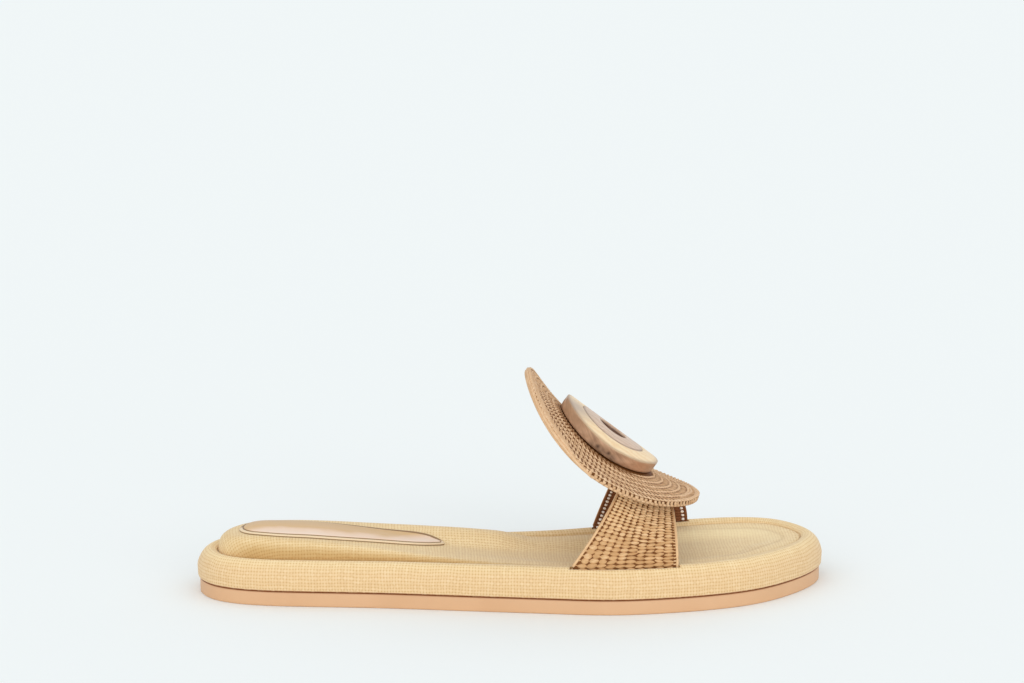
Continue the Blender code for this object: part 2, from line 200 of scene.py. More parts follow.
def new_piece(name, points, faces, material, uv=None, values=None):
    """A mesh object from points in millimetres.

    faces are tuples of point numbers. uv has one (u, v) for each corner, in millimetres. values holds, by
    attribute name, a number for each point or one for all."""
    points = np.reshape(points, (-1, 3))
    mesh = bpy.data.meshes.new(name)
    mesh.from_pydata((points * MM).tolist(), [], [tuple(map(int, face)) for face in faces])
    if uv is not None:
        mesh.uv_layers.new(name="UVMap").data.foreach_set("uv", np.ravel(uv).astype(np.float32))
    for key, numbers in (values or {}).items():
        layer = mesh.attributes.new(key, "FLOAT", "POINT")
        layer.data.foreach_set("value", (np.ravel(numbers) * np.ones(len(points))).astype(np.float32))
    mesh.materials.append(material)
    mesh.shade_smooth()
    obj = bpy.data.objects.new(name, mesh)
    bpy.context.scene.collection.objects.link(obj)
    return obj


def settle(piece, node):
    """Declares what a finished piece rides on and stands for."""
    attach(piece, "root")
    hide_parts(node)


def grid(rings, count, closed=True, looped=False):
    """Quads between successive rings, and each corner's (ring, column) for its UV.

    closed rings join their last column to their first, and a looped run its last ring to its first."""
    ring, column = np.indices((rings if looped else rings - 1, count if closed else count - 1)).reshape(2, -1)
    corners = np.stack([np.stack([ring + i, column + j], 1) for i, j in ((0, 0), (0, 1), (1, 1), (1, 0))], 1)
    return corners[..., 0] % rings * count + corners[..., 1] % count, corners.reshape(-1, 2)


def refine_rings(rings, steps):
    """A smooth (Catmull-Rom) run of rings through the given ones."""
    rings = np.asarray(rings)
    padded = np.concatenate([2 * rings[:1] - rings[1:2], rings, 2 * rings[-1:] - rings[-2:-1]])
    a, b, c, d = (padded[i : i + len(rings) - 1, None] for i in range(4))
    t = (np.arange(steps) / steps)[:, None, None]
    made = b + t / 2 * (c - a + t * (2 * a - 5 * b + 4 * c - d + t * (3 * (b - c) + d - a)))
    return np.concatenate([made.reshape(-1, *rings.shape[1:]), rings[-1:]])


def norm(vectors):
    return np.linalg.norm(vectors, axis=-1)


def unit(vectors):
    return vectors / norm(vectors)[..., None]


def clamp(values):
    return np.clip(values, 0, 1)


def turns(count):
    """Equal steps round a circle."""
    return math.tau * np.arange(count) / count


def running_length(points, closed=False):
    """Length along a line of points up to each one, and on to the start again if it is closed."""
    line = np.concatenate([points, points[:1]]) if closed else points
    return np.concatenate([[0], np.cumsum(norm(np.diff(line, axis=0)))])


def waves(x, y, seed, size):
    """Smooth unevenness between about -1 and 1, with features of a given size."""
    count = 7
    rng = np.random.default_rng(seed)
    total = np.zeros(np.broadcast(x, y).shape)
    for _ in range(count):
        angle, phase = rng.uniform(0, math.tau, 2)
        pitch = size * rng.uniform(0.7, 1.8)
        total += np.sin(math.tau * (x * math.cos(angle) + y * math.sin(angle)) / pitch + phase)
    return total / math.sqrt(count) / 1.4


def bell(x, middle, spread):
    """1 at the middle, falling to 0 on both sides."""
    return np.exp(-((x - middle) ** 2) / spread)


# ---------- plan curves


def closed_spline(points, steps):
    """A smooth closed curve through the points: a periodic cubic spline by chord length."""
    here = np.array(points, float)
    after = np.roll(here, -1, axis=0)
    chord = norm(after - here)
    links = np.roll(np.diag(chord), 1, axis=1)
    system = links + links.T + 2 * np.diag(chord + np.roll(chord, 1))
    slope = (after - here) / chord[:, None]
    bend = np.linalg.solve(system, 6 * (slope - np.roll(slope, 1, axis=0)))[:, None]
    b = (np.arange(steps) / steps)[:, None]
    a = 1 - b
    pull = (a**3 - a) * bend + (b**3 - b) * np.roll(bend, -1, axis=0)
    return (a * here[:, None] + b * after[:, None] + chord[:, None, None] ** 2 / 6 * pull).reshape(-1, 2)


def plan_curve(heel_tip, table, toe_tip, steps):
    """A closed plan, from its heel tip along the lateral side to its toe tip, and back along the other."""
    lateral = [(x, -reach) for x, reach, _ in table]
    medial = [(x, reach) for x, _, reach in reversed(table)]
    return closed_spline([heel_tip, *lateral, toe_tip, *medial], steps)


def inward(curve):
    """Unit vectors that point into a closed curve that runs counterclockwise."""
    along = unit(np.roll(curve, -1, axis=0) - np.roll(curve, 1, axis=0))
    return np.stack([-along[:, 1], along[:, 0]], axis=1)


PLAN = plan_curve(HEEL_TIP, OUTLINE, TOE_TIP, STEPS_PER_STATION)
PLAN_INWARD = inward(PLAN)
PLAN_LENGTH = running_length(PLAN, closed=True)
COUNT = len(PLAN)
HALF = COUNT // 2
LATERAL_SIDE = np.arange(COUNT) <= HALF


def by_station(table, x, column):
    """A table's column, smoothly interpolated along the foot."""
    stations = [row[0] for row in table]
    fine = np.linspace(stations[0], stations[-1], TABLE_SAMPLES)
    window = np.hanning(2 * SMOOTHING_REACH + 3)[1:-1]
    padded = np.pad(np.interp(fine, stations, [row[column] for row in table]), SMOOTHING_REACH, mode="edge")
    return np.interp(x, fine, np.convolve(padded, window / window.sum(), "valid"))


def inset_ring(inset, height):
    """The sole's outline moved inwards, at one height or at a height for each point."""
    plan = PLAN + PLAN_INWARD * np.reshape(inset * np.ones(COUNT), (-1, 1))
    return np.column_stack([plan, height * np.ones(COUNT)])


def rim_width():
    x = PLAN[:, 0]
    return np.where(LATERAL_SIDE, by_station(RIM_WIDTH, x, 1), by_station(RIM_WIDTH, x, 2))


def crest_height():
    share = (PLAN[:, 0] - HEEL_TIP[0]) / (TOE_TIP[0] - HEEL_TIP[0])
    return CREST_HEEL + (CREST_TOE - CREST_HEEL) * share


def lip_drop():
    return by_station(LIP_DROP, PLAN[:, 0], 1)


def outline_reach(x, side):
    """Where the outline lies at distance x along the foot: side -1 is lateral, +1 is medial."""
    points = PLAN[: HALF + 1] if side < 0 else PLAN[HALF:][::-1]
    return np.interp(x, points[:, 0], points[:, 1])


# ---------- materials


def linear(red, green, blue):
    """A colour given as it looks on screen, 0 to 255, as Blender's linear colour."""
    screen = np.array([red, green, blue]) / 255
    return (*np.where(screen > 0.04045, ((screen + 0.055) / 1.055) ** 2.4, screen / 12.92), 1.0)


class Value:
    """A value in a material's node tree, which formulas can use like a number."""

    def __init__(self, finish, socket):
        self.finish, self.socket = finish, socket

    def __add__(self, other):
        return self.finish.math("ADD", self, other)

    def __sub__(self, other):
        return self.finish.math("SUBTRACT", self, other)

    def __rsub__(self, other):
        return self.finish.math("SUBTRACT", other, self)

    def __mul__(self, other):
        return self.finish.math("MULTIPLY", self, other)

    def __truediv__(self, other):
        return self.finish.math("DIVIDE", self, other)

    def __pow__(self, other):
        return self.finish.math("POWER", self, other)


class Finish:
    """A material's node tree, with short calls for the nodes it uses.

    Colours are (red, green, blue) as they look on screen, 0 to 255."""

    def __init__(self, name, roughness, **settings):
        self.material = bpy.data.materials.new(name)
        self.material.use_nodes = True
        self.tree = self.material.node_tree
        self.shader = self.tree.nodes["Principled BSDF"]
        for key, value in {"Roughness": roughness, **settings}.items():
            self.shader.inputs[key.replace("_", " ")].default_value = value

    def feed(self, socket, value):
        if isinstance(value, Value):
            self.tree.links.new(value.socket, socket)
        else:
            socket.default_value = linear(*value) if isinstance(value, tuple) else value

    def add(self, kind, inputs=(), output=0, **settings):
        """One output of a new node, which is given its settings and inputs."""
        node = self.tree.nodes.new("ShaderNode" + kind)
        for key, value in settings.items():
            setattr(node, key, value)
        for key, value in dict(inputs).items():
            self.feed(node.inputs[key], value)
        return Value(self, node.outputs[output])

    def math(self, operation, *values, clamp=False):
        return self.add("Math", enumerate(values), operation=operation, use_clamp=clamp)

    def mix(self, share, first, second, blend="MIX"):
        return self.add("Mix", {0: share, 6: first, 7: second}, 2, data_type="RGBA", blend_type=blend)

    def ramp(self, share, *stops):
        """Colours or grey levels by share: each stop is (share, colour)."""
        ramp = self.add("ValToRGB", {"Fac": share})
        elements = ramp.socket.node.color_ramp.elements
        while len(elements) < len(stops):
            elements.new(1.0)
        for element, (position, color) in zip(elements, stops):
            element.position = position
            element.color = linear(*color) if isinstance(color, tuple) else (color, color, color, 1)
        return ramp

    def attribute(self, name):
        return self.add("Attribute", output="Fac", attribute_name=name)

    def split(self, vector):
        """A vector's X, Y and Z."""
        return [self.add("SeparateXYZ", {"Vector": vector}, axis) for axis in range(3)]

    def uv(self):
        """The UV map's u and v, in millimetres."""
        return self.split(self.add("UVMap", uv_map="UVMap"))[:2]

    def place(self, x, y, z=0.0):
        return self.add("CombineXYZ", {"X": x, "Y": y, "Z": z})

    def position(self):
        """The place on the shoe, in millimetres."""
        place = self.add("NewGeometry", output="Position")
        return self.add("VectorMath", {0: place, "Scale": 1 / MM}, operation="SCALE")

    def noise(self, where, scale, detail=2.0, roughness=0.5):
        inputs = {"Vector": where, "Scale": scale, "Detail": detail, "Roughness": roughness}
        return self.add("TexNoise", inputs, "Fac")

    def bump(self, height, distance, strength):
        """Raises the surface by height times a distance in millimetres."""
        bump = self.add("Bump", {"Height": height, "Distance": distance * MM, "Strength": strength})
        self.feed(self.shader.inputs["Normal"], bump)

    def color(self, value):
        self.feed(self.shader.inputs["Base Color"], value)


def weave(finish, u, v):
    """A plain weave on u and v in threads: its height, and a number for each thread on top."""
    cell_u, cell_v = finish.math("FLOOR", u), finish.math("FLOOR", v)
    across_u, across_v = finish.math("FRACT", u) - 0.5, finish.math("FRACT", v) - 0.5
    over = finish.math("MODULO", finish.math("ABSOLUTE", cell_u + cell_v), 2.0) * 2.0 - 1.0

    def thread(across, along, sign):
        body = finish.math("MAXIMUM", 1.0 - (across * 2.0) ** 2.0, 0.0) ** 0.5
        return body * 0.7 + over * finish.math("COSINE", along * math.pi) * (sign * 0.3)

    def random_number(cell):
        return finish.add("TexWhiteNoise", {"W": cell}, "Value", noise_dimensions="1D")

    warp, weft = thread(across_u, across_v, 1), thread(across_v, across_u, -1)
    tones = random_number(cell_v + 0.5), random_number(cell_u)
    return finish.math("MAXIMUM", warp, weft), finish.mix(finish.math("GREATER_THAN", warp, weft), *tones)


def woven_fabric(name):
    """Straw-coloured plain weave, with threads that wander, thicken and darken here and there."""
    finish = Finish(name, 0.82, Sheen_Weight=0.15, Sheen_Roughness=0.5)
    u, v = finish.uv()
    where = finish.place(u, v)
    drift = finish.noise(where, 0.07) - 0.5
    u, v = u / WEAVE_PITCH[0] + drift * 1.6, v / WEAVE_PITCH[1] + drift * -1.3
    height, tone = weave(finish, u, v)
    slub = finish.noise(finish.place(u * 0.35, v), 1.0) + finish.noise(finish.place(u, v * 0.35), 1.0) - 1.0
    tone = tone * 0.3 + 0.36 + slub * 0.55
    threads = finish.ramp(tone, (0.0, (230, 200, 150)), (0.5, (241, 214, 164)), (1.0, (249, 228, 184)))
    gap = finish.ramp(height, (0.25, 1.0), (0.8, 0.0))
    color = finish.mix(gap, threads, (222, 198, 158), "MULTIPLY")
    # Painted shade on the lower outer wall.
    color = finish.mix(finish.attribute("wall"), color, (242, 234, 232), "MULTIPLY")
    # Painted shade in the grooves between rim and pad, and round the toe's dish.
    color = finish.mix(finish.attribute("hollow"), color, (216, 200, 172), "MULTIPLY")
    # Painted light on the near slope of the toe's dish.
    color = finish.mix(finish.attribute("pale") * 0.5, color, (255, 236, 188))
    speckle = finish.ramp(finish.noise(finish.position(), 0.8), (0.35, 0.55), (0.5, 1.0))
    finish.color(finish.mix(finish.attribute("joint") * speckle, color, (152, 88, 36)))
    finish.bump(finish.noise(where, 5.0, 3.0) * 0.25 + height, 0.16, 0.6)
    return finish.material


def raffia(name, dark, mid, pale):
    """Camel raffia: fine fibres along each strand, with painted shade where a strand dives into the work."""
    finish = Finish(name, 0.65, Specular_IOR_Level=0.3)
    u, v = finish.uv()
    tint = finish.attribute("tint")
    shift = tint * 90.0
    fibre = finish.noise(finish.place(u * 0.35 + shift, v * 2.6, shift), 1.0, 3.0, 0.6)
    strand = finish.ramp(tint * 0.35 + fibre * 0.65, (0.2, dark), (0.5, mid), (0.8, pale))
    # Painted light where pale is set.
    strand = finish.mix(finish.attribute("pale"), strand, (255, 220, 168))
    # Painted shade where shade is low: between the stitches, where a strand dives into the work, and on its
    # flanks.
    deep = finish.ramp(finish.attribute("shade"), (0.05, 1.0), (0.6, 0.0))
    strand = finish.mix(deep, strand, (118, 70, 24))
    # Darker on the foot's side, where inner is set.
    finish.color(finish.mix(finish.attribute("inner"), strand, (128, 78, 44)))
    finish.bump(fibre, 0.12, 0.7)
    return finish.material


def pale_thread():
    """Glossy cream thread."""
    finish = Finish("pale_thread", 0.45)
    fibre = finish.noise(finish.position(), 3.0, 3.0)
    finish.color(finish.ramp(fibre, (0.3, (255, 240, 226)), (0.7, (255, 250, 244))))
    finish.bump(fibre, 0.05, 0.4)
    return finish.material


def outsole_rubber():
    """Smooth peach-tan rubber, a little mottled."""
    finish = Finish("outsole_rubber", 0.5)
    where = finish.position()
    grain = finish.noise(where, 2.2, 4.0)
    color = finish.ramp(finish.noise(where, 0.03, 3.0), (0.3, (213, 168, 126)), (0.7, (221, 178, 137)))
    color = finish.mix(grain * 0.25, color, (200, 154, 112))
    finish.color(finish.mix(finish.attribute("joint"), color, (146, 84, 34)))
    finish.bump(grain, 0.05, 0.5)
    return finish.material


def patch_leather():
    """Rose-beige leather with a pearly sheen and a fine pebbled grain, with a painted highlight on its
    lateral side.
    """
    finish = Finish("patch_leather", 0.4, Metallic=0.1, Sheen_Weight=0.05)
    where = finish.position()
    pebble = finish.add("TexVoronoi", {"Vector": where, "Scale": 1.6}, "Distance", feature="SMOOTH_F1")
    cloud = finish.noise(where, 0.08, 3.0)
    x, y, _ = finish.split(where)
    # The painted highlight on the lateral side widens towards the tip.
    near_tip = finish.math("DIVIDE", x - PATCH_HIGHLIGHT_FROM, PATCH_HIGHLIGHT_RUN, clamp=True)
    leather = finish.ramp(
        y / PATCH_WIDTH + 0.35 - near_tip * 0.25 + cloud * 0.3,
        (0.1, (246, 222, 200)),
        (0.28, (242, 210, 180)),
        (0.43, (222, 182, 126)),
        (0.9, (212, 174, 122)),
    )
    leather = finish.mix(finish.attribute("border"), leather, (238, 214, 176))
    # Seam colour, with painted shade along the foot of the edge and in the groove inside the border.
    finish.color(finish.mix(finish.attribute("seam_and_shade"), leather, (152, 116, 74)))
    finish.bump(cloud * 0.5 + pebble, 0.05, 0.6)
    return finish.material


def blot(finish, u, v, at, size):
    """1 in the middle of a round mark on u and v, falling to 0 at its rim."""
    distance = finish.math("SQRT", (u - at[0]) ** 2.0 + (v - at[1]) ** 2.0)
    return finish.math("SUBTRACT", 1.0, distance / size, clamp=True)


def wood(name, top_colors, side_colors):
    """Polished end grain on top, and stains, streaks, two soft patches and the knots on the side."""
    finish = Finish(name, 0.4, Coat_Weight=0.15, Coat_Roughness=0.25)
    u, v = finish.uv()
    where = finish.place(u, v)
    bands = finish.math("SINE", finish.noise(where, 0.09) * 16.0 + v * 1.5)
    fine = finish.noise(where, 1.1, 4.0)
    top = finish.ramp(fine * 0.5 + 0.25 + bands * 0.12, *zip((0.25, 0.5, 0.75), top_colors))
    greying = blot(finish, u, v, (-19.0, -9.0), 13.0)
    top = finish.mix(greying * 1.2, top, (196, 172, 146))
    stains = finish.noise(finish.position(), 0.12, 4.0, 0.6)
    streaks = finish.noise(finish.place(v * 0.5 + u * 0.22, u * 0.06), 1.4, 3.0)  # leaning
    side_dark, side_pale, orange, knot = side_colors
    side = finish.ramp(streaks * 0.55 + stains * 0.5, (0.38, side_dark), (0.64, side_pale))
    middle = GAP + MEDALLION_THICKNESS / 2
    marks = [(208, middle, 14.0, 0.5, (210, 172, 134)), (318, middle, 15.0, 0.5, orange)]
    for degrees, height, size, strength, color in [*marks, *((*mark, knot) for mark in KNOTS)]:
        mark = blot(finish, u, v, (MEDALLION_RADIUS * math.radians(degrees), height), size)
        side = finish.mix(mark * strength, side, color)
    color = finish.mix(finish.attribute("side"), top, side)
    finish.color(finish.mix(finish.attribute("rim"), color, side_dark))
    finish.bump(fine + stains, 0.08, 0.5)
    return finish.material


# ---------- sole


def capped(rings, height):
    """Faces and UVs of a solid through rings round the sole, with a flat cap at each end.

    height is each ring's V, in millimetres up the side."""
    faces, corners = grid(len(rings), COUNT)
    last = (len(rings) - 1) * COUNT
    side_uv = np.column_stack([PLAN_LENGTH[corners[:, 1]], height[corners[:, 0]]])
    uv = np.concatenate([side_uv, rings[0][::-1, :2], rings[-1][:, :2]])
    return [*faces, range(COUNT)[::-1], range(last, last + COUNT)], uv


def make_outsole(rubber):
    r = OUTSOLE_ROUNDING
    # Inset from the slab's side, and height.
    rows = [(3.4, 0.0), (r, 0.0)]
    rows += [(r * (1 - math.sin(a)), r * (1 - math.cos(a))) for a in np.linspace(0.3, 1.4, 4)]
    rows += [(0.0, z) for z in np.linspace(r, OUTSOLE_TOP - 0.5, 6)]
    rows += [(0.08, OUTSOLE_TOP + 0.05), (0.4, OUTSOLE_TOP + 0.15)]
    rings = np.array([inset_ring(OUTSOLE_INSET + inset, z) for inset, z in rows])
    height = np.array([z for _, z in rows])
    faces, uv = capped(rings, height)
    joint = np.repeat(height > OUTSOLE_TOP - 0.1, COUNT)
    settle(new_piece("outsole_slab", rings, faces, rubber, uv, {"joint": joint}), "outsole")


def make_platform(fabric):
    """The wrapped tray: up its outer wall, over the crest of the rim and down into the recess."""
    drop, width = lip_drop(), rim_width()
    rise = crest_height() - MIDSOLE_BOTTOM
    # Inset from the outline, and height over the lower edge.
    rows = [
        (2.0, 0.0),
        (0.75, 0.1),
        (0.5, 0.4),
        (0.15, 0.9),
        (0.0, 0.28 * rise),
        (0.0, 0.46 * rise),
        (1.0, 0.7 * rise),
        (2.7, 0.89 * rise),
        (CREST_INSET, rise),
        (width - 1.7, rise - 0.3 * drop),
        (width - 0.35, rise - 0.8 * drop),
        (width, rise - 1.6 * drop),
    ]
    rings = refine_rings([inset_ring(inset, MIDSOLE_BOTTOM + over) for inset, over in rows], 3)
    height = np.concatenate([[0], np.cumsum(norm(np.diff(rings, axis=0)).mean(axis=1))])
    uneven = 0.16 * waves(PLAN_LENGTH[None, :-1], height[:, None], 3, 26.0)
    fade = clamp(height / 4.0) * clamp((height[-1] - height) / 4.0)
    rings[..., :2] -= PLAN_INWARD * (np.minimum(uneven, 0) * fade[:, None])[..., None]
    rings = np.concatenate([rings, [inset_ring(width, RECESS_FLOOR)]])
    height = np.append(height, height[-1] + 6.0)
    faces, uv = capped(rings, height)
    over_joint = rings[..., 2].mean(axis=1) - MIDSOLE_BOTTOM
    values = {
        # Painted shade in the groove by the lip.
        "hollow": clamp((height - height[-2] + 3.0) / 3.0)[:, None] * groove_depth(PLAN[:, 0]),
        "joint": np.repeat(clamp(1 - (over_joint - 0.35) / 0.25), COUNT),
        # Painted shade on the lower outer wall.
        "wall": np.repeat(clamp(1.2 - (over_joint - 0.6 * rise.mean()) / 4.0), COUNT),
    }
    piece = new_piece("platform_wrap", rings, faces, fabric, uv, values)
    cut_slot(piece, 0)
    cut_slot(piece, math.pi)
    settle(piece, "midsole")


def groove_depth(x):
    """How much painted shade the groove between rim and pad takes: most along the heel, least round the tips.
    """
    return np.interp(x, (-125, -110, -30, 20, 70, 105), (0.1, 1.0, 1.0, 0.4, 0.3, 0.1))


def cut_slot(platform, turn):
    """The pocket in the rim that one end of the strap drops into, with room all round it."""
    plan = strap_ring(turn, GAP)[:, :2]
    count = len(plan)
    rings = [np.column_stack([plan, z * np.ones(count)]) for z in (RECESS_FLOOR, STRAP_BASE + ABOVE_RIM)]
    if turn > 0:
        rings.reverse()
    faces, _ = grid(2, count)
    faces = [*faces, range(count)[::-1], range(count, 2 * count)]
    cutter = new_piece("slot_cutter", rings, faces, platform.data.materials[0])
    cut = platform.modifiers.new("slot", "BOOLEAN")
    cut.operation = "DIFFERENCE"
    cut.solver = "EXACT"
    cut.object = cutter
    bpy.context.view_layer.update()
    graph = bpy.context.evaluated_depsgraph_get()
    made = bpy.data.meshes.new_from_object(platform.evaluated_get(graph))
    platform.modifiers.clear()
    platform.data = made
    bpy.data.objects.remove(cutter)


def spine_of(ring, end):
    """For each point of a closed ring, the point it faces of a middle line that is shorter at both ends."""
    count = len(ring)
    middle = (ring + np.roll(ring[::-1], 1, axis=0)) / 2
    line = middle[: count // 2 + 1]
    keep = np.clip(middle[:, 0], ring[0, 0] + end, ring[count // 2, 0] - end)
    return np.column_stack([keep, np.interp(keep, line[:, 0], line[:, 1])])


def footbed_top(x, lateral_share, depth, lip):
    """Height of the footbed's top at a depth inside its edge.

    lateral_share is 1 on the lateral side and 0 on the medial side."""
    side = lateral_share * by_station(FOOTBED, x, 1) + (1 - lateral_share) * by_station(FOOTBED, x, 3)
    roll = clamp(depth / (SHOULDER_RUN + SHOULDER_RUN_PER_RISE * (side - lip)))
    shoulder = lip + (side - lip) * (1 - (1 - roll) ** SHOULDER_POWER) ** (1 / SHOULDER_POWER)
    share = clamp((depth - EDGE_BAND) / DISH_RUN)
    return shoulder + (by_station(FOOTBED, x, 2) - side) * share * share * (3 - 2 * share)


def make_footbed(fabric):
    """The padded insole: a short wall out of the recess, a rolled shoulder and the dish."""
    lip = crest_height() - lip_drop() - 0.2
    edge = PLAN + PLAN_INWARD * (rim_width() + GAP)[:, None]
    spine = spine_of(edge, SPINE_END)
    reach = norm(spine - edge)
    around = np.sin(turns(COUNT))
    lateral = clamp(0.5 + 1.1 * around)
    pucker = 0.22 * clamp(1 - np.abs(around) * 2.4) * np.sin(math.tau * PLAN_LENGTH[:-1] / PUCKER_PITCH)
    toe, heel = clamp((edge[:, 0] - TOE_FROM) / TIP_RUN), clamp((HEEL_FROM - edge[:, 0]) / TIP_RUN)
    depths = [0.0, 0.25, 0.6, 1.1, 1.8, 2.6, 3.5, 4.7, 6.0, 7.5, 9.0, 11.0, 13.0, 15.0, 17.0, 19.0, 21.0]
    rings = [np.column_stack([edge, FOOTBED_BOTTOM * np.ones(COUNT)])]
    for depth in depths:
        within = np.minimum(depth, reach * 0.98)
        at = edge + (spine - edge) * (within / reach)[:, None]
        height = footbed_top(at[:, 0], lateral, within, lip)
        height = height + pucker * bell(depth, 1.2, 1.2) - 0.35 * toe * bell(depth, TOE_CREASE, 2.5)
        rings.append(np.column_stack([at, height]))
    rings.append(np.column_stack([spine, footbed_top(spine[:, 0], 0.5, EDGE_BAND + DISH_RUN, lip)]))
    rings = np.array(rings)
    faces, corners = grid(len(rings), COUNT)
    flat = unfolded(rings, depths.index(EDGE_BAND) + 1)
    uv = np.concatenate([flat[corners[:, 0], corners[:, 1] % COUNT], rings[0][::-1, :2]])
    deep = np.array([0.0, *depths])[:, None]
    # Painted shade at the foot of the pad's wall, down its heel side and in the crease round the toe's dish.
    hollow = clamp(1.15 - deep / 2.2) * groove_depth(PLAN[:, 0])
    hollow += 0.27 * heel * bell(deep, 3.0, 12) + 0.45 * toe * bell(deep, TOE_CREASE, 1.2)
    # Painted light on the near slope of the toe's dish, which faces away from the lamps.
    near = clamp(0.5 - around) * clamp((edge[:, 0] - 20) / 60)
    pale = near * bell(np.array([-20.0, *depths, 21.0])[:, None], 12.0, 40)
    values = {"hollow": np.concatenate([hollow, np.zeros((1, COUNT))]), "pale": pale}
    piece = new_piece("footbed_pad", rings, [*faces, range(COUNT)[::-1]], fabric, uv, values)
    settle(piece, "footbed")
    return piece


def unfolded(rings, flat_ring):
    """Each ring point's place on the cloth before it was pulled down over the edge."""
    outward = unit(rings[0][:, :2] - rings[flat_ring][:, :2])
    flat = rings[..., :2].copy()
    for ring in range(flat_ring - 1, -1, -1):
        flat[ring] = flat[ring + 1] + outward * norm(rings[ring] - rings[ring + 1])[:, None]
    return flat


# ---------- heel patch


def height_on(surface, x, y):
    """Height of a surface straight below a point high above it."""
    high = 100.0
    hit = surface.ray_cast(Vector((x, y, high)) * MM, Vector((0, 0, -1)))[0]
    return hit.z / MM


def make_heel_patch(leather, footbed):
    """A teardrop of leather with a folded border, lying on the footbed."""
    points = [vertex.co for vertex in footbed.data.vertices]
    surface = BVHTree.FromPolygons(points, [face.vertices for face in footbed.data.polygons])
    edge = plan_curve(PATCH_HEEL, PATCH_OUTLINE, PATCH_TIP, PATCH_STEPS_PER_STATION)
    spine = spine_of(edge, PATCH_SPINE_END)
    reach = norm(spine - edge)
    t = PATCH_THICKNESS
    # Depth inside the edge, height over the footbed, share of border colour, share of seam colour and painted
    # shade.
    rows = [
        # The foot of the edge carries a painted contact shadow.
        (0.0, 0.0, 1, 1),
        (0.0, 0.3 * t, 1, 1),
        (0.05, 0.42 * t, 1, 0),
        (0.3, 0.78 * t, 1, 0),
        (0.8, 0.9 * t, 1, 0),
        (1.2, 0.82 * t, 1, 0),
        (1.35, 0.6 * t, 1, 1),
        (1.6, 0.6 * t, 0, 1),
        (1.7, 0.95 * t, 0, 1),
        (1.85, 1.05 * t, 0, 0.2),
    ]
    # On the medial side the border is pressed down and darkened by its seam and by painted shade.
    pressed = clamp((edge[:, 1] - spine[:, 1]) / PATCH_BORDER)
    levels, border, seam_and_shade = [], [], []
    first = np.minimum(PATCH_BORDER / reach, 0.5)
    for depth, over, border_share, seam_and_shade_share in rows:
        levels.append((np.minimum(depth / reach, first * depth / PATCH_BORDER), over))
        border.append(border_share * (1 - pressed))
        seam_and_shade.append(np.maximum(seam_and_shade_share, pressed * (depth < PATCH_SEAM_SHADE_WIDTH)))
    for k in range(PATCH_INNER_ROWS + 1):
        inward_share = first + (1 - first) * k / PATCH_INNER_ROWS
        levels.append((inward_share, t * (1.12 + 0.18 * np.minimum(inward_share * reach / 9, 1))))
        border.append(np.zeros(len(edge)))
        seam_and_shade.append(np.zeros(len(edge)))
    rings = []
    for inward_share, over in levels:
        at = edge + (spine - edge) * inward_share[:, None]
        height = np.array([height_on(surface, *point) for point in at]) + GAP / 2 + over
        rings.append(np.column_stack([at, height]))
    rings = np.array(rings)
    faces, corners = grid(len(rings), len(edge))
    uv = rings[corners[:, 0], corners[:, 1] % len(edge), :2]
    piece = new_piece("heel_patch_leather", rings, faces, leather, uv, {"border": border, "seam_and_shade": seam_and_shade})
    settle(piece, "heel_patch")


# ---------- crochet


def bead_template(around, stations, taper=(2.4, 0.55)):
    """A lozenge of two twisted strands, 1 from middle to tip: points, faces and each point's (t, turn)."""
    lengths = np.sin(np.linspace(-math.pi / 2, math.pi / 2, stations + 2))[1:-1]
    points, places = [], []
    for t in lengths:
        radius = (1 - abs(t) ** taper[0]) ** taper[1]
        for turn in turns(around):
            r = radius * (1 + 0.09 * math.cos(2 * (turn - t)))
            points.append((t, r * math.cos(turn), r * math.sin(turn)))
            places.append((t, turn))
    faces = [tuple(face) for face in grid(stations, around)[0]]
    first, last = len(points), len(points) + 1
    base = (stations - 1) * around
    for k in range(around):
        after = (k + 1) % around
        faces += [(first, after, k), (last, base + k, base + after)]
    tips = [(-1, 0, 0), (1, 0, 0)]
    return np.array(points + tips), faces, np.array(places + [tip[:2] for tip in tips])


BEAD = bead_template(12, 7)
SMALL_BEAD = bead_template(8, 5)
STITCH = bead_template(12, 9, (1.4, 0.52))


def uneven_sizes(sizes, count, spread=0.08):
    return sizes * RANDOM.normal(1.0, spread, (count, 3))


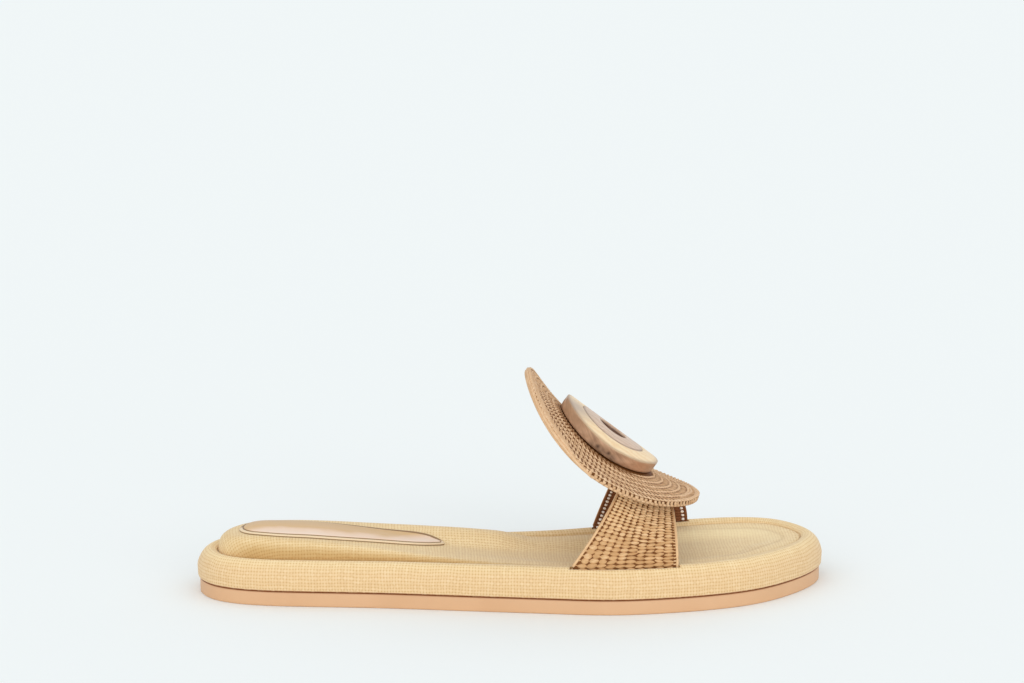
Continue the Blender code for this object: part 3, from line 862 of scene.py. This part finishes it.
def beads(name, material, at, long_axis, out_axis, sizes, template, dive, core_depth, **looks):
    """Many beads in one mesh.

    at, the axes and sizes (half length, half width, half thickness) have a row for each bead. dive is how far
    the tips bend inwards. core_depth is how far below a bead's middle its painted shade is deepest. Of the
    looks, tone is how pale they are, from 0 to 1, lined beads are darker on the foot's side, flank is how
    pale their flanks are in painted shade, whatever their depth, and pale is how much painted light each one
    takes."""
    shape, faces, places = template
    count, corners = len(at), len(shape)
    wide_axis = np.cross(out_axis, long_axis)
    a, b, c = (sizes[:, i, None, None] for i in range(3))
    bend = -dive * shape[:, :1] ** 2
    points = (
        at[:, None]
        + long_axis[:, None] * a * shape[:, :1]
        + wide_axis[:, None] * b * shape[:, 1:2]
        + out_axis[:, None] * (c * shape[:, 2:] + bend)
    )
    starts = range(0, count * corners, corners)
    all_faces = [tuple(i + start for i in face) for start in starts for face in faces]
    flat = (sizes[:, None, :2] * places).reshape(-1, 2)
    uv = flat[np.concatenate(all_faces)]
    tint = clamp(looks.get("tone", 0.5) + RANDOM.uniform(-0.3, 0.3, count))
    if "flank" in looks:
        # Painted shade on the flanks, whatever their depth.
        rise = shape[:, 2] / np.maximum(np.hypot(shape[:, 1], shape[:, 2]), 1e-6)
        shade = looks["flank"][:, None] + 0.9 * rise
    else:
        # Painted shade, deepest below the bead's middle.
        shade = (c[..., 0] * shape[:, 2] + bend[:, 0] + core_depth) / (core_depth + c[..., 0])
    values = {"tint": np.repeat(tint, corners), "shade": clamp(shade)}
    if looks.get("lined"):
        values["inner"] = np.tile(clamp(-2.5 * shape[:, 2]), count)
    if "pale" in looks:
        values["pale"] = np.repeat(looks["pale"], corners)
    return new_piece(name, points, all_faces, material, uv, values)


def tube(path, radius, around, looped=False):
    """Rings of a tube along a path, with one radius or a radius for each ring: points (ring, around, 3)."""
    if looped:
        along = np.roll(path, -1, axis=0) - np.roll(path, 1, axis=0)
    else:
        along = np.gradient(path, axis=0)
    along = unit(along)
    side = np.cross(along, (0.0, 0.0, 1.0))
    weak = norm(side) < 0.2
    side[weak] = np.cross(along[weak], (1.0, 0.0, 0.0))
    side = unit(side)
    up = np.cross(side, along)
    turn = turns(around)[:, None]
    ring = side[:, None] * np.cos(turn) + up[:, None] * np.sin(turn)
    return path[:, None] + np.reshape(radius, (-1, 1, 1)) * ring


def cord_mesh(name, material, cords, looped=False):
    """One mesh of several cords.

    Each is its rings, the length up to each ring, the UV width of a strip, the UV of its first strip, and its
    values by attribute name: one for all, one for each ring or one for each point."""
    points, faces, uv, offset = [], [], [], 0
    values = {key: [] for key in cords[0][-1]}
    for rings, length, strip, start, shares in cords:
        quads, corners = grid(*rings.shape[:2], looped=looped)
        points.append(rings.reshape(-1, 3))
        faces += [*(quads + offset)]
        uv.append(np.column_stack([length[corners[:, 0]], corners[:, 1] * strip + start]))
        offset += len(points[-1])
        for key, share in shares.items():
            values[key] += [*np.broadcast_to(share, rings.shape[:2]).ravel()]
    return new_piece(name, np.concatenate(points), faces, material, np.concatenate(uv), values)


# ---------- strap


def seat_point(x, height):
    """X and Z in the shoe's frame of a point on the seat's middle line."""
    across, up = math.sin(SEAT_TILT), math.cos(SEAT_TILT)
    return SEAT[0] + x * up + height * across, SEAT[2] - x * across + height * up


def rosette_lift(radius):
    """How far the rosette's free border flares up."""
    out = np.maximum(0.0, np.abs(radius) - FLARE_FROM) / (ROSETTE_RADIUS - FLARE_FROM)
    return FLARE_LIFT * out**FLARE_POWER


def rosette_underside(x):
    """Height over the seat of the rosette's underside on the seat's middle line."""
    out = x - ROSETTE_FORWARD
    return rosette_lift(out) - ROSETTE_THICKNESS - (out * math.sin(BEND_TURN)) ** 2 / (2 * BEND_RADIUS)


def strap_face(v, turn):
    """The strap's outer face: v is 0 at its back edge and 1 at its front, turn runs 0 to pi over the arch."""
    edges = zip(STRAP_BACK, STRAP_FRONT)
    lateral_x, medial_x, under, power = (back + (front - back) * v for back, front in edges)
    lateral_y = outline_reach(lateral_x, -1) + STRAP_INSET
    medial_y = outline_reach(medial_x, 1) - STRAP_INSET
    crown_x, crown_z = seat_point(under, rosette_underside(under) - UNDER_ROSETTE)
    base_x = np.where(turn < math.pi / 2, lateral_x, medial_x)
    x = base_x + (crown_x - base_x) * np.sin(turn) ** power
    y = (lateral_y + medial_y) / 2 - (medial_y - lateral_y) / 2 * np.cos(turn)
    return np.stack([x, y, STRAP_BASE + (crown_z - STRAP_BASE) * np.sin(turn)], -1)


def strap_frame(v, turn):
    """The outer face's points, and unit vectors along the arch, across the strap and inwards through it."""
    small = 1e-3
    across = strap_face(v + small, turn) - strap_face(v - small, turn)
    along = strap_face(v, np.minimum(turn + small, math.pi)) - strap_face(v, np.maximum(turn - small, 0))
    return strap_face(v, turn), unit(along), unit(across), unit(np.cross(along, across))


def strap_ring(turn, room):
    """One closed section of the strap, grown by some room on every side."""
    edge = room / STRAP_WIDTH
    outer, _, _, normal = strap_frame(np.linspace(-edge, 1 + edge, 9), turn)
    inner = outer + normal * (STRAP_THICKNESS + room)
    return np.concatenate([outer - normal * room, inner[::-1]])


def with_feet(sides, count):
    """Arrays over the arch, with their first and last rows repeated for the strap's two feet."""
    return [np.pad(side, ((count, count), (0, 0)), mode="edge") for side in sides]


def strap_line(v, depth, pitch):
    """Frames every pitch along the whole strap at one v, from the lateral foot to the medial one.

    They are points at a depth under the outer face, along, across and normal."""
    face, along, across, normal = with_feet(strap_frame(v, ARCH_TURNS), 1)
    points = face + normal * depth
    points[[0, -1], 2] = STRAP_FOOT
    length = running_length(points)
    places = np.arange(pitch / 2, length[-1], pitch)
    index = np.clip(np.searchsorted(length, places), 1, len(points) - 1)
    share = ((places - length[index - 1]) / (length[index] - length[index - 1]))[:, None]
    at = points[index - 1] * (1 - share) + points[index] * share
    along = along[index]
    along[places < STRAP_BASE - STRAP_FOOT] = (0, 0, 1)
    along[places > length[-1] - (STRAP_BASE - STRAP_FOOT)] = (0, 0, -1)
    return at, along, across[index], normal[index]


def strap_turns():
    """Where the strap's rows of stitches lie over its arch."""
    length = running_length(strap_face(0.5, ARCH_TURNS))
    low, high = STITCH_PITCH
    pitch = low + (high - low) * np.sin(ARCH_TURNS)
    rows = np.concatenate([[0], np.cumsum(np.diff(length) / pitch[1:])])
    return np.interp(np.arange(0.5, rows[-1]), rows, ARCH_TURNS)


def strap_rows(v, depth):
    """The strap's rows of stitches at one v, as frames like those of strap_line."""
    face, along, across, normal = strap_frame(v, strap_turns())
    drops = STITCH_PITCH[0] * np.arange(1, int((STRAP_BASE - STRAP_FOOT) / STITCH_PITCH[0]) + 1)
    count = len(drops)
    at, along, across, normal = with_feet((face + normal * depth, along, across, normal), count)
    at[:count, 2] -= drops[::-1]
    at[-count:, 2] -= drops
    along[:count], along[-count:] = (0, 0, 1), (0, 0, -1)
    return at, along, across, normal


def joined(rows):
    """Tuples of arrays as one tuple of longer arrays."""
    return [np.concatenate(parts) for parts in zip(*rows)]


def make_strap_stitches(material):
    """Columns of short stitches up the strap. Their tips meet those of the next columns and leave gaps."""
    step = (1 - 2 * STRAP_MARGIN) / STRAP_COLUMN_COUNT
    rows = []
    for v in STRAP_MARGIN + step * (np.arange(STRAP_COLUMN_COUNT) + 0.5):
        at, along, across, normal = strap_rows(v, STRAP_MIDDLE)
        width = norm(strap_rows(v + step / 2, STRAP_MIDDLE)[0] - strap_rows(v - step / 2, STRAP_MIDDLE)[0])
        pitch = norm(np.gradient(at, axis=0))
        stagger = RANDOM.uniform(-0.12, 0.12)
        rows.append((at + along * pitch[:, None] * stagger, along, across, normal, width, pitch))
    at, along, across, normal, width, pitch = joined(rows)
    total = len(at)
    slant = RANDOM.normal(0.06, 0.12, total)[:, None]
    long_axis = across * np.cos(slant) + along * np.sin(slant)
    at = at + along * RANDOM.normal(0, 0.08, (total, 1)) - normal * RANDOM.normal(0.0, 0.08, (total, 1))
    sizes = uneven_sizes(np.column_stack([width * 0.58, pitch * 0.54, np.full(total, STRAP_MIDDLE)]), total)
    # Painted light: the stitches grow paler, and their flanks lighter, up the strap, against the rosette's
    # shade over its top.
    climb = at[:, 2] - STRAP_BASE
    rise, painted_light = clamp(climb / PALE_CLIMB) ** 2, clamp((climb - 6) / PALE_CLIMB) ** 1.5
    looks = {"lined": True, "tone": 0.35 + 0.65 * rise, "flank": 0.12 + 0.25 * rise, "pale": painted_light}
    piece = beads("strap_stitches", material, at, long_axis, -normal, sizes, STITCH, 0.12, 0.45, **looks)
    settle(piece, "strap")


def make_strap_core(material):
    """A sheet in the middle of the wall, painted with the dark of the shade seen between the stitches."""
    margin = EDGE_CORD_RADIUS / STRAP_WIDTH
    share = np.linspace(0, 1, 100)
    outer, inner = [], []
    for v in np.linspace(margin, 1 - margin, 25):
        at, _, _, normal = strap_line(v, STRAP_MIDDLE, 1.0)
        line = np.linspace(0, 1, len(at))
        outer_line, inner_line = at - normal * 0.3, at + normal * 0.3
        outer.append([np.interp(share, line, outer_line[:, i]) for i in range(3)])
        inner.append([np.interp(share, line, inner_line[:, i]) for i in range(3)])
    rings = np.swapaxes(outer + inner[::-1], 1, 2)
    faces, _ = grid(*rings.shape[:2], closed=False, looped=True)
    dark = {"tint": 0, "shade": 0, "inner": np.repeat([0.0, 1.0], rings[..., 0].size // 2)}
    settle(new_piece("strap_core", rings, faces, material, None, dark), "strap")


def make_strap_inner_stitches(thread):
    """Light dots of thread along both edges of the strap's inner face."""
    inset = INNER_STITCH_INSET / STRAP_WIDTH
    lines = [strap_line(v, STRAP_THICKNESS - 0.25, EDGE_PITCH) for v in (inset, 1 - inset)]
    at, along, across, normal = joined(lines)
    place = at, unit(across + 0.3 * along), normal
    sizes = uneven_sizes((0.72, 0.56, 0.4), len(at))
    piece = beads("strap_inner_stitches", thread, *place, sizes, SMALL_BEAD, 0.1, 0.4)
    settle(piece, "strap")


def make_strap_edges(material):
    """A smooth cord along each edge of the strap, tied to the stitches by short bars with holes between."""
    cord_v = EDGE_CORD_RADIUS / STRAP_WIDTH
    around = 10
    cords, bars = [], []
    for v, bar_v in ((cord_v, STRAP_MARGIN), (1 - cord_v, 1 - STRAP_MARGIN)):
        path, _, _, normal = strap_line(v, STRAP_MIDDLE, 1.0)
        rings = tube(path, EDGE_CORD_RADIUS, around)
        inward_share = ((rings - path[:, None]) * normal[:, None]).sum(axis=2) / EDGE_CORD_RADIUS
        values = {"tint": 0.8, "shade": 1.0, "inner": clamp(2.0 * inward_share + 0.2)}
        cords.append((rings, np.arange(len(rings)), math.tau * EDGE_CORD_RADIUS / around, 0.0, values))
        ends, _, _, normal = strap_rows(bar_v, STRAP_MIDDLE)
        bars.append((ends, strap_rows(v, STRAP_MIDDLE)[0], normal))
    settle(cord_mesh("strap_edge_cords", material, cords), "strap")
    ends, feet, normal = joined(bars)
    length = norm(feet - ends)
    count = len(length)
    sizes = np.column_stack([length * 0.62, np.full(count, 0.36), np.full(count, 0.5)])
    sizes[:, 1:] *= RANDOM.normal(1.0, 0.08, (count, 2))
    place = (ends + feet) / 2, unit(feet - ends), -normal
    piece = beads("strap_edge_bars", material, *place, sizes, BEAD, 0.0, 0.4, lined=True)
    settle(piece, "strap")


# ---------- rosette


def on_seat(flat, forward):
    """Points of a flat piece bent over the foot like a roof tile and laid on the tilted seat."""
    x, y, z = np.moveaxis(np.asarray(flat, float), -1, 0)
    radius, angle = BEND_RADIUS + z, y / BEND_RADIUS
    bent = np.stack([x, radius * np.sin(angle), radius * np.cos(angle) - BEND_RADIUS], -1)
    return (bent @ RIDGE_TURN.T + (forward, 0, 0)) @ SEAT_TURN.T + SEAT


def on_rosette(radius, turn, height):
    """A point of the rosette: height is measured up from its flared top face."""
    flat = np.stack([radius * np.cos(turn), radius * np.sin(turn), rosette_lift(radius) + height], -1)
    return on_seat(flat, ROSETTE_FORWARD)


def rosette_frames(radius, turn, height):
    """Points, and unit vectors round, outwards and up, at places on the rosette."""
    small = 0.01
    step = small / radius
    around = on_rosette(radius, turn + step, height) - on_rosette(radius, turn - step, height)
    outward = on_rosette(radius + small, turn, height) - on_rosette(radius - small, turn, height)
    around, outward = unit(around), unit(outward)
    return on_rosette(radius, turn, height), around, outward, np.cross(outward, around)


def make_rounds(name, material, first, last, height, template):
    """Rounds between two radii, on the top face or the underside: cords, with slanted bars between them."""
    rounds = max(1, round((last - first) / ROUND_PITCH))
    pitch = (last - first) / rounds
    side = 1 if height > -ROSETTE_THICKNESS / 2 else -1
    radius, turn, cords = [], [], []
    for k in range(rounds + 1):
        r = first + pitch * k
        count = max(5, round(math.tau * (r + pitch / 2) / ROUND_STITCH_PITCH))
        start = 0.37 * k
        cords.append(rosette_cord(r, count, start, height, side))
        if k < rounds:
            radius += [r + pitch / 2] * count
            turn += list(math.tau * (np.arange(count) + start) / count)
    count = len(radius)
    radius = np.array(radius) + RANDOM.normal(0, 0.05, count)
    turn = np.array(turn) + RANDOM.normal(0, 0.08, count) / radius
    at, around, outward, up = rosette_frames(radius, turn, height - side * 0.08)
    angle = RANDOM.normal(ROUND_SLANT, 0.1, count)[:, None]
    place = at, around * np.cos(angle) + outward * np.sin(angle), up * side
    sizes = uneven_sizes((pitch * 0.53, 0.56, 0.46), count)
    bars = beads(name + "_bars", material, *place, sizes, template, 0.05, 0.0, tone=0.35)
    settle(bars, "rosette")
    settle(cord_mesh(name + "_cords", material, cords, looped=True), "rosette")


def rosette_cord(r, count, start, height, side):
    """A closed cord round the rosette, with a bulge for every stitch of the round outside it."""
    around = 8
    steps = count * 6
    turn = turns(steps)
    phase = turn * count - math.tau * start
    wander = 0.28 * np.sin(phase) + 0.1 * waves(turn * r, r, 21, 9.0)
    path = on_rosette(r + wander, turn, height + side * 0.1 * np.cos(phase))
    rings = tube(path, CORD_RADIUS * (1 + 0.25 * np.cos(phase + 0.7)), around, looped=True)
    tone = clamp(0.8 + 0.2 * waves(turn * r, r * 3, 22, 6.0))
    lift = np.sin(turns(around)) * side
    # Painted shade on the cord's lower side and between its bulges.
    shade = clamp(0.4 + 0.12 * np.cos(phase + 0.7)[:, None] + 1.4 * lift)
    if abs(r - MEDALLION_RADIUS) < 1.5:
        # The cord beside the medallion takes painted shadow, except in front of it.
        shade = np.clip((np.cos(turn) - 0.5) / 0.35, 0.2, 1)[:, None] * shade
    length = np.arange(steps + 1) * math.tau * r / steps
    return rings, length, 0.5, r, {"tint": tone[:, None], "shade": shade}


def make_rosette_edge(material):
    """Upright bars down the disc's edge, from the outermost cord to the rim below it."""
    r = ROSETTE_RADIUS - RIM_HALF_WIDTH - 0.15
    count = round(math.tau * r / ROUND_STITCH_PITCH)
    turn = math.tau * (np.arange(count) + RANDOM.normal(0, 0.09, count)) / count
    at, around, outward, up = rosette_frames(np.full(count, r), turn, -ROSETTE_THICKNESS * 0.45)
    angle = RANDOM.normal(1.15, 0.12, count)[:, None]
    place = at, around * np.cos(angle) - up * np.sin(angle), outward
    sizes = uneven_sizes((1.15, 0.7, 0.46), count, 0.12)
    piece = beads("rosette_edge", material, *place, sizes, SMALL_BEAD, 0.1, 0.3)
    settle(piece, "rosette")


def make_rosette_strands(material):
    """Long smooth strands laid over the outer rounds where the work starts and ends."""
    # Radius, where each strand starts and ends in degrees round the rosette, and height.
    rows = [
        (44.0, 138, 270, -1.35),
        (43.3, 146, 266, -0.5),
        (42.2, 156, 262, -0.45),
        (41.1, 164, 256, -0.45),
        (40.1, 186, 232, -0.45),
        (42.6, 318, 392, -0.45),
        (40.4, 330, 384, -0.45),
    ]
    strands = []
    for radius, start, end, height in rows:
        turn = np.radians(np.linspace(start, end, round((end - start) * 1.2)))
        share = np.linspace(0, 1, len(turn))
        sink = 1.4 * (1 - np.minimum(1, 5 * np.minimum(share, 1 - share))) ** 2
        path = on_rosette(radius + 0.25 * np.sin(share * 9 + radius), turn, height - sink)
        values = {"tint": RANDOM.uniform(0.5, 0.9), "shade": 1.0}
        strands.append((tube(path, STRAND_RADIUS, 8), running_length(path), 0.5, radius, values))
    settle(cord_mesh("rosette_strands", material, strands), "rosette")


def turned(profile, steps, forward=0.0):
    """Rings of (radius, height) turned round Z, bent and laid on the seat. A radius may vary in its ring."""
    turn = turns(steps)
    rings = [np.stack([r * np.cos(turn), r * np.sin(turn), z * np.ones(steps)], -1) for r, z in profile]
    return on_seat(rings, forward)


def make_rosette_core(material):
    """A sheet in the middle of the disc, painted with the dark of the shade seen between the stitches."""
    steps = 96
    radii = np.linspace(1.0, ROSETTE_RADIUS - 1.0, 24)
    profile = [(r, rosette_lift(r) - CORE_DEPTH) for r in radii]
    profile += [(r, rosette_lift(r) - ROSETTE_THICKNESS + CORE_DEPTH) for r in radii[::-1]]
    rings = turned(profile, steps, ROSETTE_FORWARD)
    faces, _ = grid(len(rings), steps)
    last = (len(rings) - 1) * steps
    faces = [*(face[::-1] for face in faces), range(steps), range(last, last + steps)[::-1]]
    piece = new_piece("rosette_core", rings, faces, material, None, {"tint": 0, "shade": 0})
    settle(piece, "rosette")


def make_rosette_rim(material):
    """The cord that ends the work, along the disc's lower edge: stouter at its back tip, smooth beside it."""
    steps, around = 1000, 10
    turn = turns(steps)
    knots = round(math.tau * ROSETTE_RADIUS / ROUND_STITCH_PITCH)
    smooth = np.exp(-(((turn - math.radians(210)) / math.radians(50)) ** 4))
    texture = (1 - smooth) * (0.5 - 0.5 * np.cos(turn * knots))
    radius = RIM_HALF_WIDTH * (1 + 0.5 * bell(turn, math.pi, 0.25)) * (1 - 0.3 * texture)
    path = on_rosette(ROSETTE_RADIUS - radius, turn, -ROSETTE_THICKNESS + radius)
    tone = clamp(0.5 + 0.25 * waves(turn * ROSETTE_RADIUS, turn, 32, 8.0))
    # Painted shade in the notches between the rim's knots.
    values = {"tint": tone[:, None], "shade": (1 - 0.7 * texture)[:, None]}
    length = np.arange(steps + 1) * math.tau * ROSETTE_RADIUS / steps
    rim = tube(path, radius, around, looped=True), length, 0.4, 0.0, values
    settle(cord_mesh("rosette_rim", material, [rim], looped=True), "rosette")


# ---------- medallion


def make_wooden_ring(name, node, slot, material, outer, inner, uneven):
    """A flat ring with softly broken edges, its side a little uneven."""
    steps = 180
    low, high, soft = GAP, GAP + MEDALLION_THICKNESS, 0.45
    # Radius, height, and how much the side's unevenness reaches this row.
    rows = [(inner, low, 0), (outer - soft, low, 0)]
    rows += [(outer, z, 1) for z in np.linspace(low + soft, high - soft, 7)]
    rows += [(outer - soft * (1 - math.cos(a)), high - soft * (1 - math.sin(a)), 0.5) for a in (0.5, 1, 1.4)]
    rows += [(r, high, 0) for r in np.linspace(outer - 1.2, inner + 1.0, 6)]
    rows += [(inner + soft * (1 - math.sin(a)), high - soft * (1 - math.cos(a)), 0) for a in (0.2, 0.8, 1.3)]
    rows += [(inner, z, 0) for z in np.linspace(high - 1.2, low, 4)[:-1]]
    turn = turns(steps)
    profile, side, rim = [], [], []
    for r, z, reach in rows:
        profile.append((r - np.abs(reach * uneven * waves(turn * outer, z * 3.0, 5, 16.0)), z))
        side.append(1.0 if reach == 1 or r <= inner + 0.01 or z <= low else 0.35 * reach)
        # The top's outer margin takes on the side's dark colour.
        on_margin = z == high and r > outer - 1.25
        rim.append(0.35 + uneven if 0 < reach < 1 else uneven * on_margin)
    rings = turned(profile, steps)
    faces, corners = grid(len(rings), steps, looped=True)
    index = corners[:, 0] % len(rings)
    angle = math.tau * corners[:, 1] / steps
    radius, height = np.array(rows)[index, :2].T
    plan = np.column_stack([radius * np.cos(angle), radius * np.sin(angle)])
    on_side = np.array(side)[index, None] > 0.9
    uv = np.where(on_side, np.column_stack([radius * angle, height]), plan)
    values = {"side": np.repeat(side, steps), "rim": np.repeat(rim, steps)}
    settle(new_piece(name, rings, faces, material, uv, values), node)


# ---------- stage

TARGET = Vector((-0.95, -3.45, 30.0))
AZIMUTH, ELEVATION = math.radians(-2.0), math.radians(14.5)
DISTANCE = 1600.0
LENS = 135.2
AIM_UP, AIM_RIGHT = 74.3, 0.8
FLOOR_SIDE = 60.0  # in metres


def aimed(name, data, place, direction):
    """A camera or light at a place, pointing in a direction."""
    made = bpy.data.objects.new(name, data)
    bpy.context.scene.collection.objects.link(made)
    made.location = place
    made.rotation_mode = "QUATERNION"
    made.rotation_quaternion = direction.to_track_quat("-Z", "Y")
    return made


def make_camera():
    level = math.cos(ELEVATION)
    back = Vector((math.sin(AZIMUTH) * level, -math.cos(AZIMUTH) * level, math.sin(ELEVATION)))
    right = Vector((math.cos(AZIMUTH), math.sin(AZIMUTH), 0))
    data = bpy.data.cameras.new("camera")
    data.lens = LENS
    data.sensor_width = 36.0
    data.clip_end = 100.0
    place = (TARGET + back * DISTANCE) * MM
    aim = (TARGET + back.cross(right) * AIM_UP + right * AIM_RIGHT) * MM
    bpy.context.scene.camera = aimed("camera", data, place, aim - place)


def make_floor():
    half = FLOOR_SIDE / 2 / MM
    corners = [(-half, -half, 0), (half, -half, 0), (half, half, 0), (-half, half, 0)]
    finish = Finish("pale_floor", 0.9, Specular_IOR_Level=0.0)
    finish.color((248, 252, 251))
    floor = new_piece("floor", corners, [range(4)], finish.material)


def make_light(name, energy, source, degrees):
    """A sun of some width that shines from a direction."""
    light = bpy.data.lights.new(name, "SUN")
    light.energy = energy
    light.angle = math.radians(degrees)
    aimed(name, light, source, -Vector(source))


def make_world():
    """A pale surround: what the camera sees of it is the background, and the rest is soft light."""
    world = bpy.data.worlds.new("studio")
    bpy.context.scene.world = world
    world.use_nodes = True
    tree = world.node_tree
    light = tree.nodes["Background"]
    light.inputs["Color"].default_value = (0.96, 0.98, 1.0, 1)
    light.inputs["Strength"].default_value = 0.84
    seen = tree.nodes.new("ShaderNodeBackground")
    seen.inputs["Color"].default_value = linear(236, 243, 243)
    mix = tree.nodes.new("ShaderNodeMixShader")
    tree.links.new(tree.nodes.new("ShaderNodeLightPath").outputs["Is Camera Ray"], mix.inputs[0])
    tree.links.new(light.outputs[0], mix.inputs[1])
    tree.links.new(seen.outputs[0], mix.inputs[2])
    tree.links.new(mix.outputs[0], tree.nodes["World Output"].inputs["Surface"])


def make_stage():
    make_camera()
    make_floor()
    make_world()
    make_light("key", 0.5, (-0.7, -1.5, 0.85), 60)
    make_light("fill", 0.9, (0.45, -1.5, 0.25), 50)
    bpy.context.scene.view_settings.view_transform = "Standard"


# ---------- everything


def make_sole():
    make_outsole(outsole_rubber())
    make_platform(woven_fabric("platform_fabric"))
    make_heel_patch(patch_leather(), make_footbed(woven_fabric("footbed_fabric")))


def make_strap():
    strap_raffia = raffia("strap_raffia", (180, 132, 82), (212, 168, 118), (248, 214, 170))
    make_strap_stitches(strap_raffia)
    make_strap_core(strap_raffia)
    make_strap_edges(strap_raffia)
    make_strap_inner_stitches(pale_thread())


def make_rosette():
    rosette_raffia = raffia("rosette_raffia", (184, 140, 98), (214, 174, 132), (244, 210, 172))
    top, under = -CORD_RADIUS, -ROSETTE_THICKNESS + CORD_RADIUS
    border = ROSETTE_RADIUS - 1.3
    make_rounds("rosette_rounds", rosette_raffia, MEDALLION_RADIUS + 1.0, border, top, BEAD)
    make_rounds("rosette_heart", rosette_raffia, 0.8, HOLE_RADIUS + 2.5, top, SMALL_BEAD)
    make_rounds("rosette_back", rosette_raffia, 2.0, border, under, SMALL_BEAD)
    make_rosette_strands(rosette_raffia)
    make_rosette_edge(rosette_raffia)
    make_rosette_core(rosette_raffia)
    make_rosette_rim(rosette_raffia)


def make_medallion():
    tops = (240, 200, 146), (250, 218, 168), (254, 230, 188)
    sides = (150, 117, 93), (206, 168, 136), (196, 134, 92), (66, 46, 34)
    light = wood("light_wood", tops, sides), MEDALLION_RADIUS, INLAY_RADIUS + GAP, 0.25
    make_wooden_ring("medallion_outer", "medallion_ring", "light_wood", *light)
    tops = (198, 160, 132), (216, 184, 156), (230, 202, 176)
    sides = (84, 52, 34), (124, 86, 62), (124, 86, 62), (70, 42, 26)
    mauve = wood("mauve_wood", tops, sides), INLAY_RADIUS + INLAY_GROWTH, HOLE_RADIUS, 0.0
    make_wooden_ring("medallion_inner", "medallion_inlay", "mauve_wood", *mauve)


make_sole()
make_strap()
make_rosette()
make_medallion()
make_stage()
